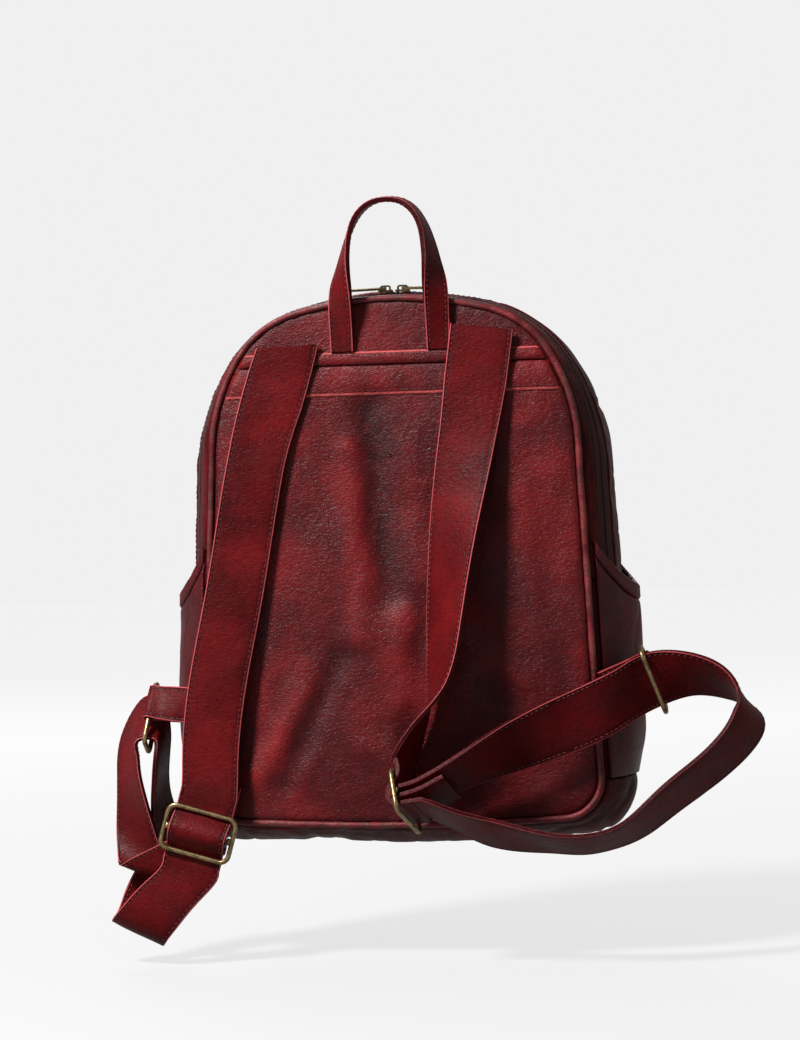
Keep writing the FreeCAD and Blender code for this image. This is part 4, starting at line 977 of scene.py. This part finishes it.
for name, glide in GLIDES.items():
    body, square = "adjuster_" + name, name == "right"
    upper = list(np.reshape(UPPER[name], (-1, 2, 3))) + glide.rows(ARRIVES[name])
    widths = [STRAP_W + 2.5] * 2 + [STRAP_W] * (len(upper) - 2)
    thing = strap("shoulder_strap_" + name, upper, widths, body=None, square=square)
    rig.blend(thing, "bag", body, Vector(upper[1][0]) * MM, Vector(upper[-2][0]) * MM)

    rows = [(-entry - OVERLAP, -by_bar), (1.3 - bar_pitch, -by_bar - 0.1), (-7.2, 1), (0, over_bar)]
    strap("strap_in_adjuster_" + name, glide.rows(rows + LEAVES[name]), body=body, spacing=1.4)

    side = -1 if square else 1
    loop = glide.rows(LOOP_STARTS[name]) + list(np.reshape(LOOP[name], (-1, 2, 3)))
    loop += [(place, across * -side) for place, across in glide.rows(LOOP_ENDS[name])]
    centres, across, wide = stations_along(loop)
    frames = band_frames(centres, across, square)
    first, last = (np.argmin(np.linalg.norm(centres - point, axis=1)) for point in RING_RUN[name])
    for which, other, cuts in (("lower", body, (slice(0, first + 1), slice(last, len(centres)))),
                               ("ring", "ring_" + name, (slice(first, last + 1),))):
        parts = [part for cut in cuts
                 for part in strap_mesh(centres[cut], [v[cut] for v in frames], wide[cut], STRAP_T, 7)]
        loose = piece("strap_loop_%s_%s" % (name, which), parts, "strap_leather", None,
                      stands=["strap_loop_" + name])
        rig.blend(loose, "bag", other, *(Vector(end) * MM for end in BLENDS[which][name]))

    rows = LEADS[name] + [(side * by_bar * cos(a), by_bar * sin(a)) for a in np.radians(range(0, 181, 30))]
    rows += [(-side * by_bar, -4.5)] + TAILS[name]
    strap("strap_end_" + name, glide.rows(rows), body=body, spacing=1.2, seed=9)

# --- brass hardware

def rounded_loop(length, width, corner, step=1.2):
    """Points of a rounded rectangle about its centre, long along its first axis."""
    half, rise = length / 2 - corner, width / 2 - corner
    points = []
    for x, y, begin in ((half, rise, 0), (-half, rise, 90), (-half, -rise, 180), (half, -rise, 270)):
        angles = np.radians(np.linspace(begin, begin + 90, 9))
        points += [(x + corner * cos(a), y + corner * sin(a)) for a in angles]
    return resample(np.array(points), int(2 * (length + width) / step), True)


def wire_frame(centre, x_dir, y_dir, length, width, corner, seed):
    """Wire bent to a rounded rectangle."""
    flat = rounded_loop(length - 2 * WIRE, width - 2 * WIRE, corner)
    path = centre + flat[:, :1] * x_dir + flat[:, 1:] * y_dir
    return tube(path, [WIRE * (1 + 0.035 * wander(p, 7, seed)) for p in path], 16, up=np.cross(x_dir, y_dir))


def sleeve(middle, along, length, radius, waist=0.0):
    """Short collar or rod with rounded ends."""
    end = [(0.4, 1.0), (0.47, 0.93), (0.5, 0.72)]
    shares = [(-share, r) for share, r in reversed(end)] + [(0, 1.0 - waist)] + end
    path = [middle + along * length * share for share, _ in shares]
    return tube(path, [radius * r for _, r in shares], 18, False, (0.3, 0.9, 0.2))


for name, glide in GLIDES.items():
    body, inner = "adjuster_" + name, (ADJUSTER_LONG - WIRE * 4) / 2
    frame_wire = wire_frame(glide.centre, glide.across, -glide.down, ADJUSTER_LONG, ADJUSTER_WIDE, 5, 51)
    piece("adjuster_frame_" + name, [frame_wire], "antique_brass", body)
    collars = [sleeve(glide.centre + glide.across * way * (inner - 0.6), glide.across, 2.4, 2.3, 0.08)
               for way in (-1, 1)]
    bar = sleeve(glide.centre, glide.across, 2 * inner, WIRE)
    piece("adjuster_bar_" + name, [bar] + collars, "antique_brass", body)

# Centre, long way, way to the tab, foot of the tab, and how far the tab sits off the bar's middle.
RINGS = {
    "left": ((-156.9, 14, -311.4), (-0.1, -0.5, -0.86), (0.05, -0.86, 0.5), (-121.7, 1.5, -304), 2),
    "right": ((153.5, 8, -293), (0.34, 0.2, -0.92), (-0.068, 0.96, 0.184), (123.6, 1.8, -298), -2)}
TAB_W, TAB_T = 22.0, 1.6
for name, (centre, long_way, to_tab, foot, slack) in RINGS.items():
    centre, long_way, to_tab, foot = (np.array(v, float) for v in (centre, long_way, to_tab, foot))
    long_way = unit(long_way)
    to_tab = np.cross(unit(np.cross(long_way, to_tab)), long_way)
    ring = wire_frame(centre, long_way, to_tab, RING_LONG, RING_WIDE, 4, 54)
    piece("strap_ring_" + name, [ring], "antique_brass", "ring_" + name)
    bar = centre + to_tab * (RING_WIDE / 2 - WIRE)
    way = bar - long_way * ((bar - foot).dot(long_way) + slack) - foot
    length = np.linalg.norm(way)
    way /= length
    seam = np.array((0, 0, 1.0 if long_way[2] > 0 else -1.0))
    bend, layer = WIRE + FIT + TAB_T / 2, TAB_T / 2 + 0.05

    def place(along, off, turn):
        """Row of the tab, turned from its seam towards the ring's bar."""
        across = seam * (1 - turn) + long_way * turn
        return foot + way * along + unit(np.cross(way, across)) * off, across

    outward = [(0, layer, 0), (length * 0.4, layer, 0.3), (length - bend * 2.2, layer + 0.4, 0.85),
               (length, bend, 1)]
    round_bar = [(length + bend * cos(a), bend * sin(a), 1) for a in np.radians((60, 30, 0, -30, -60))]
    homeward = [(along, -off, turn) for along, off, turn in reversed(outward)]
    rows = [place(*row) for row in outward + round_bar + homeward]
    strap("ring_tab_" + name, rows, [TAB_W] * len(rows), TAB_T, spacing=1.0, curved=False, seed=10, cup=0.05)

# --- main zip

def teeth(line, across, out, rise):
    """Two rows of coil teeth that hook into each other, along a line."""
    run, blocks = length_along(line), []
    for late, way in ((0, -1), (TOOTH_PITCH / 2, 1)):
        at = np.arange(0.6 + late, run[-1] - 0.6, TOOTH_PITCH)
        near = np.clip(np.searchsorted(run, at), 1, len(line) - 1)
        spots, along = sample(line, run, at), unit(line[near] - line[near - 1])
        blocks.append(np.stack([
            spots + across[near] * way * share * COIL_W + along * c * TOOTH_PITCH * 0.21 * plump
            + out[near] * (rise * 0.45 + s * rise * 0.55 * plump)
            for share, plump in ((-0.5, 0.3), (-0.38, 0.85), (-0.1, 1.0), (0.1, 0.8), (0.16, 0.3))
            for c, s in ((-1, 0), (-0.6, 0.8), (0.6, 0.8), (1, 0), (0.6, -0.5), (-0.6, -0.5))], 1))
    blocks = np.concatenate(blocks)
    return blocks.reshape(-1, 3), copies(hose(5, 6), 30, len(blocks)), {}, 0


def path_at(y, inset, count):
    return np.insert(cut_path(y, inset, ZIP_END, True, count), 1, y, 1)


for end, low, high in (("back", tape_low - 0.05, coil_low), ("front", coil_high, tape_high)):
    grid = np.stack([path_at(y, TAPE_SINK, 420) for y in np.linspace(low, high, 7)], 1)
    normals = grid_normals(grid)
    for spot in np.ndindex(grid.shape[:2]):
        grid[spot] += normals[spot] * (wander(grid[spot], 24, 61) * 0.2)
    piece("main_zip_tape_" + end, [thick(grid, TAPE_T)], "zip_tape")

spine, low_side, high_side = (path_at(y, TAPE_SINK + TAPE_T, 900) for y in (ZIP_Y, coil_low, coil_high))
across = unit(high_side - low_side)
out = unit(np.cross(np.gradient(spine, axis=0), across))
piece("main_zip_coil", [teeth(spine, across, out, 1.7)], "zip_coil")

# --- front pocket
FRONT_W, FRONT_H, FRONT_D, FRONT_R, FRONT_TOP = 190.0, 136.0, 18.0, 30.0, -224.0
ZIP_LONG, ZIP_WIDE = 150.0, 12.0
RUN = FRONT_D - PIPING * 2 + 0.7
front_middle = FRONT_TOP - FRONT_H / 2
front_foot = DEPTH + 0.1
front_zip_y = front_foot + RUN / 2


def front_outline(inset, count):
    flat = rounded_loop(FRONT_W - 2 * inset, FRONT_H - 2 * inset, FRONT_R - inset, 1.0)
    return resample(flat, count, True) + np.array((0, front_middle))


def front_slack(i, x, z, away):
    p = (x, DEPTH + FRONT_D, z)
    crease = ridge(p, 44, 74, (1, 1, 1.6)) * 0.4
    soft = wander(p, 48, 75) * 0.9 + wander(p, 16, 76) * 0.25
    sag = 3.8 * (1 - exp(-away / 18)) * (0.6 + 0.4 * (FRONT_TOP - z) / FRONT_H)
    # Second value: painted shade in the creases and within 4 mm of the rim, with random tone.
    return (sag + (soft - crease) * min(1, away / 10) + dip(away, 4, 0.8),
            -0.5 * crease + 0.2 * wander(p, 26, 77) - 0.5 * max(0, 1 - away / 4))


ring = front_outline(0, 520)
depths = np.linspace(front_foot, front_foot + RUN, 15)
grid, tone = blank(len(ring), len(depths))
around = np.roll(ring, -1, 0) - np.roll(ring, 1, 0)
face_out = unit(np.stack([around[:, 1], -around[:, 0]], 1))
for i, j in np.ndindex(tone.shape):
    (x, z), y = ring[i], depths[j]
    p = (x, y, z)
    from_edge = min(y - depths[0], depths[-1] - y)
    crease = ridge(p, 26, 71, (1, 1.8, 1)) * 0.5
    move = (wander(p, 28, 72) * 0.5 - crease) * min(1, from_edge / 4) + dip(from_edge, 2.5, 0.8)
    if z > FRONT_TOP - 1 and abs(x) < ZIP_LONG / 2 and abs(y - front_zip_y) < ZIP_WIDE / 2:
        move = -2.3  # under the zip
    grid[i, j] = (x + face_out[i, 0] * move, y, z + face_out[i, 1] * move)
    # Painted shade in the creases, with random tone.
    tone[i, j] = -0.5 * crease + 0.15 * wander(p, 20, 73)
piece("front_pocket_gusset", [thick(grid, 1.6, -1, tone, True)])

rim = front_outline(HUG, 420)
heart = np.stack([np.clip(rim[:, 0], -45, 45), np.full(len(rim), front_middle)], 1)
shares = np.concatenate([np.linspace(0, 0.12, 7), np.linspace(0.14, 1, 44)])
front_pocket, _ = cushion(
    "front_pocket_panel", rim, heart, shares, DEPTH + FRONT_D + 0.6, 1, -1, 1.8, front_slack)
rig.padded(front_pocket, 0.3)
piping("front_pocket_piping", np.insert(front_outline(0.5, 430), 1, DEPTH + FRONT_D - PIPING + 0.8, 1), 78)

half, half_wide, steps = ZIP_LONG / 2 - 0.2, ZIP_WIDE / 2 - 0.1, 400
xs, ys = np.linspace(-half, half, 160), np.linspace(front_zip_y - half_wide, front_zip_y + half_wide, 13)
grid = np.array([[(x, y, FRONT_TOP - 0.8 + 0.2 * wander((x, y, 0), 22, 80)) for y in ys] for x in xs])
piece("front_zip_tape", [thick(grid, TAPE_T)], "zip_tape")
line = np.array([(x, front_zip_y, FRONT_TOP - 0.85) for x in np.linspace(-half + 2, half - 2, steps)])
across, out = (np.tile(v, (steps, 1)) for v in ((0, 1.0, 0), (0, 0, 1.0)))
piece("front_zip_coil", [teeth(line, across, out, 1.0)], "zip_coil")

# --- parts that keep their built shape
for node in ["lining", "lining_back", "lining_front"] + [
        place + part + end for part in ("slider", "pull")
        for place, end in (("main_zip_", "_left"), ("main_zip_", "_right"), ("front_zip_", ""))]:
    kept, stuff = bpy.data.objects[node], LINING if node.startswith("lining") else BRASS
    for spot in kept.material_slots:
        spot.material = stuff
    if not kept.material_slots:
        kept.data.materials.append(stuff)

# --- room, light and camera. PALE is how bright the background shows, HAZE the share of it that glossy
# rays see, and PLAIN what lights the bag.
FLOOR, PALE, HAZE, PLAIN = -0.462, 0.87, 0.3, 0.08


def paper(name, level):
    """Pale floor: lit by the lamps close to the bag, and fading into the background further out."""
    f = Finish(name)
    place = f.add("Mapping", {"Vector": f.where, "Scale": (0.5, 0.5, 0.5)})
    near = f.add("TexGradient", {"Vector": place}, "Fac", gradient_type="SPHERICAL")
    lift = f.span(near, 0, 1, PALE - level * PLAIN, PALE - level * 1.05)
    tint = f.mix(f.span(f.noise(160, 2, 0.5), 0.3, 0.7), (level * 0.985,) * 3, (level, level, level * 1.002))
    glow = f.sum(f.seen((1, HAZE, 1)), lift, "MULTIPLY")
    return f.put(Base_Color=tint, Roughness=0.95, Specular_IOR_Level=0.1, Emission_Color=(1, 1, 1, 1),
                 Emission_Strength=glow, Normal=f.bump(f.noise(1.5, 3), 0.05, 0.3))


radii, turns = (0.0, 0.25, 0.6, 1.2, 2.5, 5.0, 9.0), np.radians(range(0, 360, 5))
floor = bpy.data.meshes.new("floor")
floor.from_pydata([(r * cos(a), r * sin(a), 0) for r in radii for a in turns], [],
                  hose(len(radii), len(turns), inward=True)[:-2])
floor.materials.append(paper("floor_paper", 0.14))
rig.stage(add_object("floor", floor, (0, 0, FLOOR)))

for name, place, wide, power in (("key", (-0.95, -1.15, 1.3), 0.42, 62), ("front", (-1.7, -1.7, 0.1), 1.0, 5),
                                 ("fill", (1.9, -0.6, 0.5), 0.8, 2), ("behind", (-0.9, 2.2, 1.5), 1.2, 26)):
    data = bpy.data.lights.new(name, "AREA")
    data.shape, data.size, data.energy = "DISK", wide, power
    aim = Vector((0, 0, -0.25)) - Vector(place)
    add_object(name, data, place).rotation_euler = aim.to_track_quat("-Z", "Y").to_euler()
world = bpy.data.worlds.new("room_light")
world.use_nodes = True
sky, light = Nodes(world.node_tree), world.node_tree.nodes["Background"].inputs
sky.feed(light["Color"], (1, 1, 1, 1))
sky.feed(light["Strength"], sky.sum(sky.seen((PALE - PLAIN, PALE * HAZE - PLAIN, PALE - PLAIN)), PLAIN))
bpy.context.scene.world = world
bpy.context.scene.view_settings.view_transform = "Standard"

SENSOR, VIEW_W, DISTANCE, YAW, TILT = 36, 0.6313, 1.8, radians(8), radians(1.5)
forward = Vector((-sin(YAW), cos(YAW), 0))
camera = add_object("camera", bpy.data.cameras.new("camera"), Vector((0.003, 0, -0.193)) - forward * DISTANCE)
camera.data.lens = SENSOR * DISTANCE / VIEW_W
camera.rotation_mode = "QUATERNION"
camera.rotation_quaternion = forward.to_track_quat("-Z", "Y") @ Quaternion((0, 0, 1), -TILT)
bpy.context.scene.camera = camera

low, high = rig.bounds()
with open("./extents.json", "w") as record:
    json.dump({"cad": [list(cad_low), list(cad_high)], "visual": [list(low), list(high)]}, record)
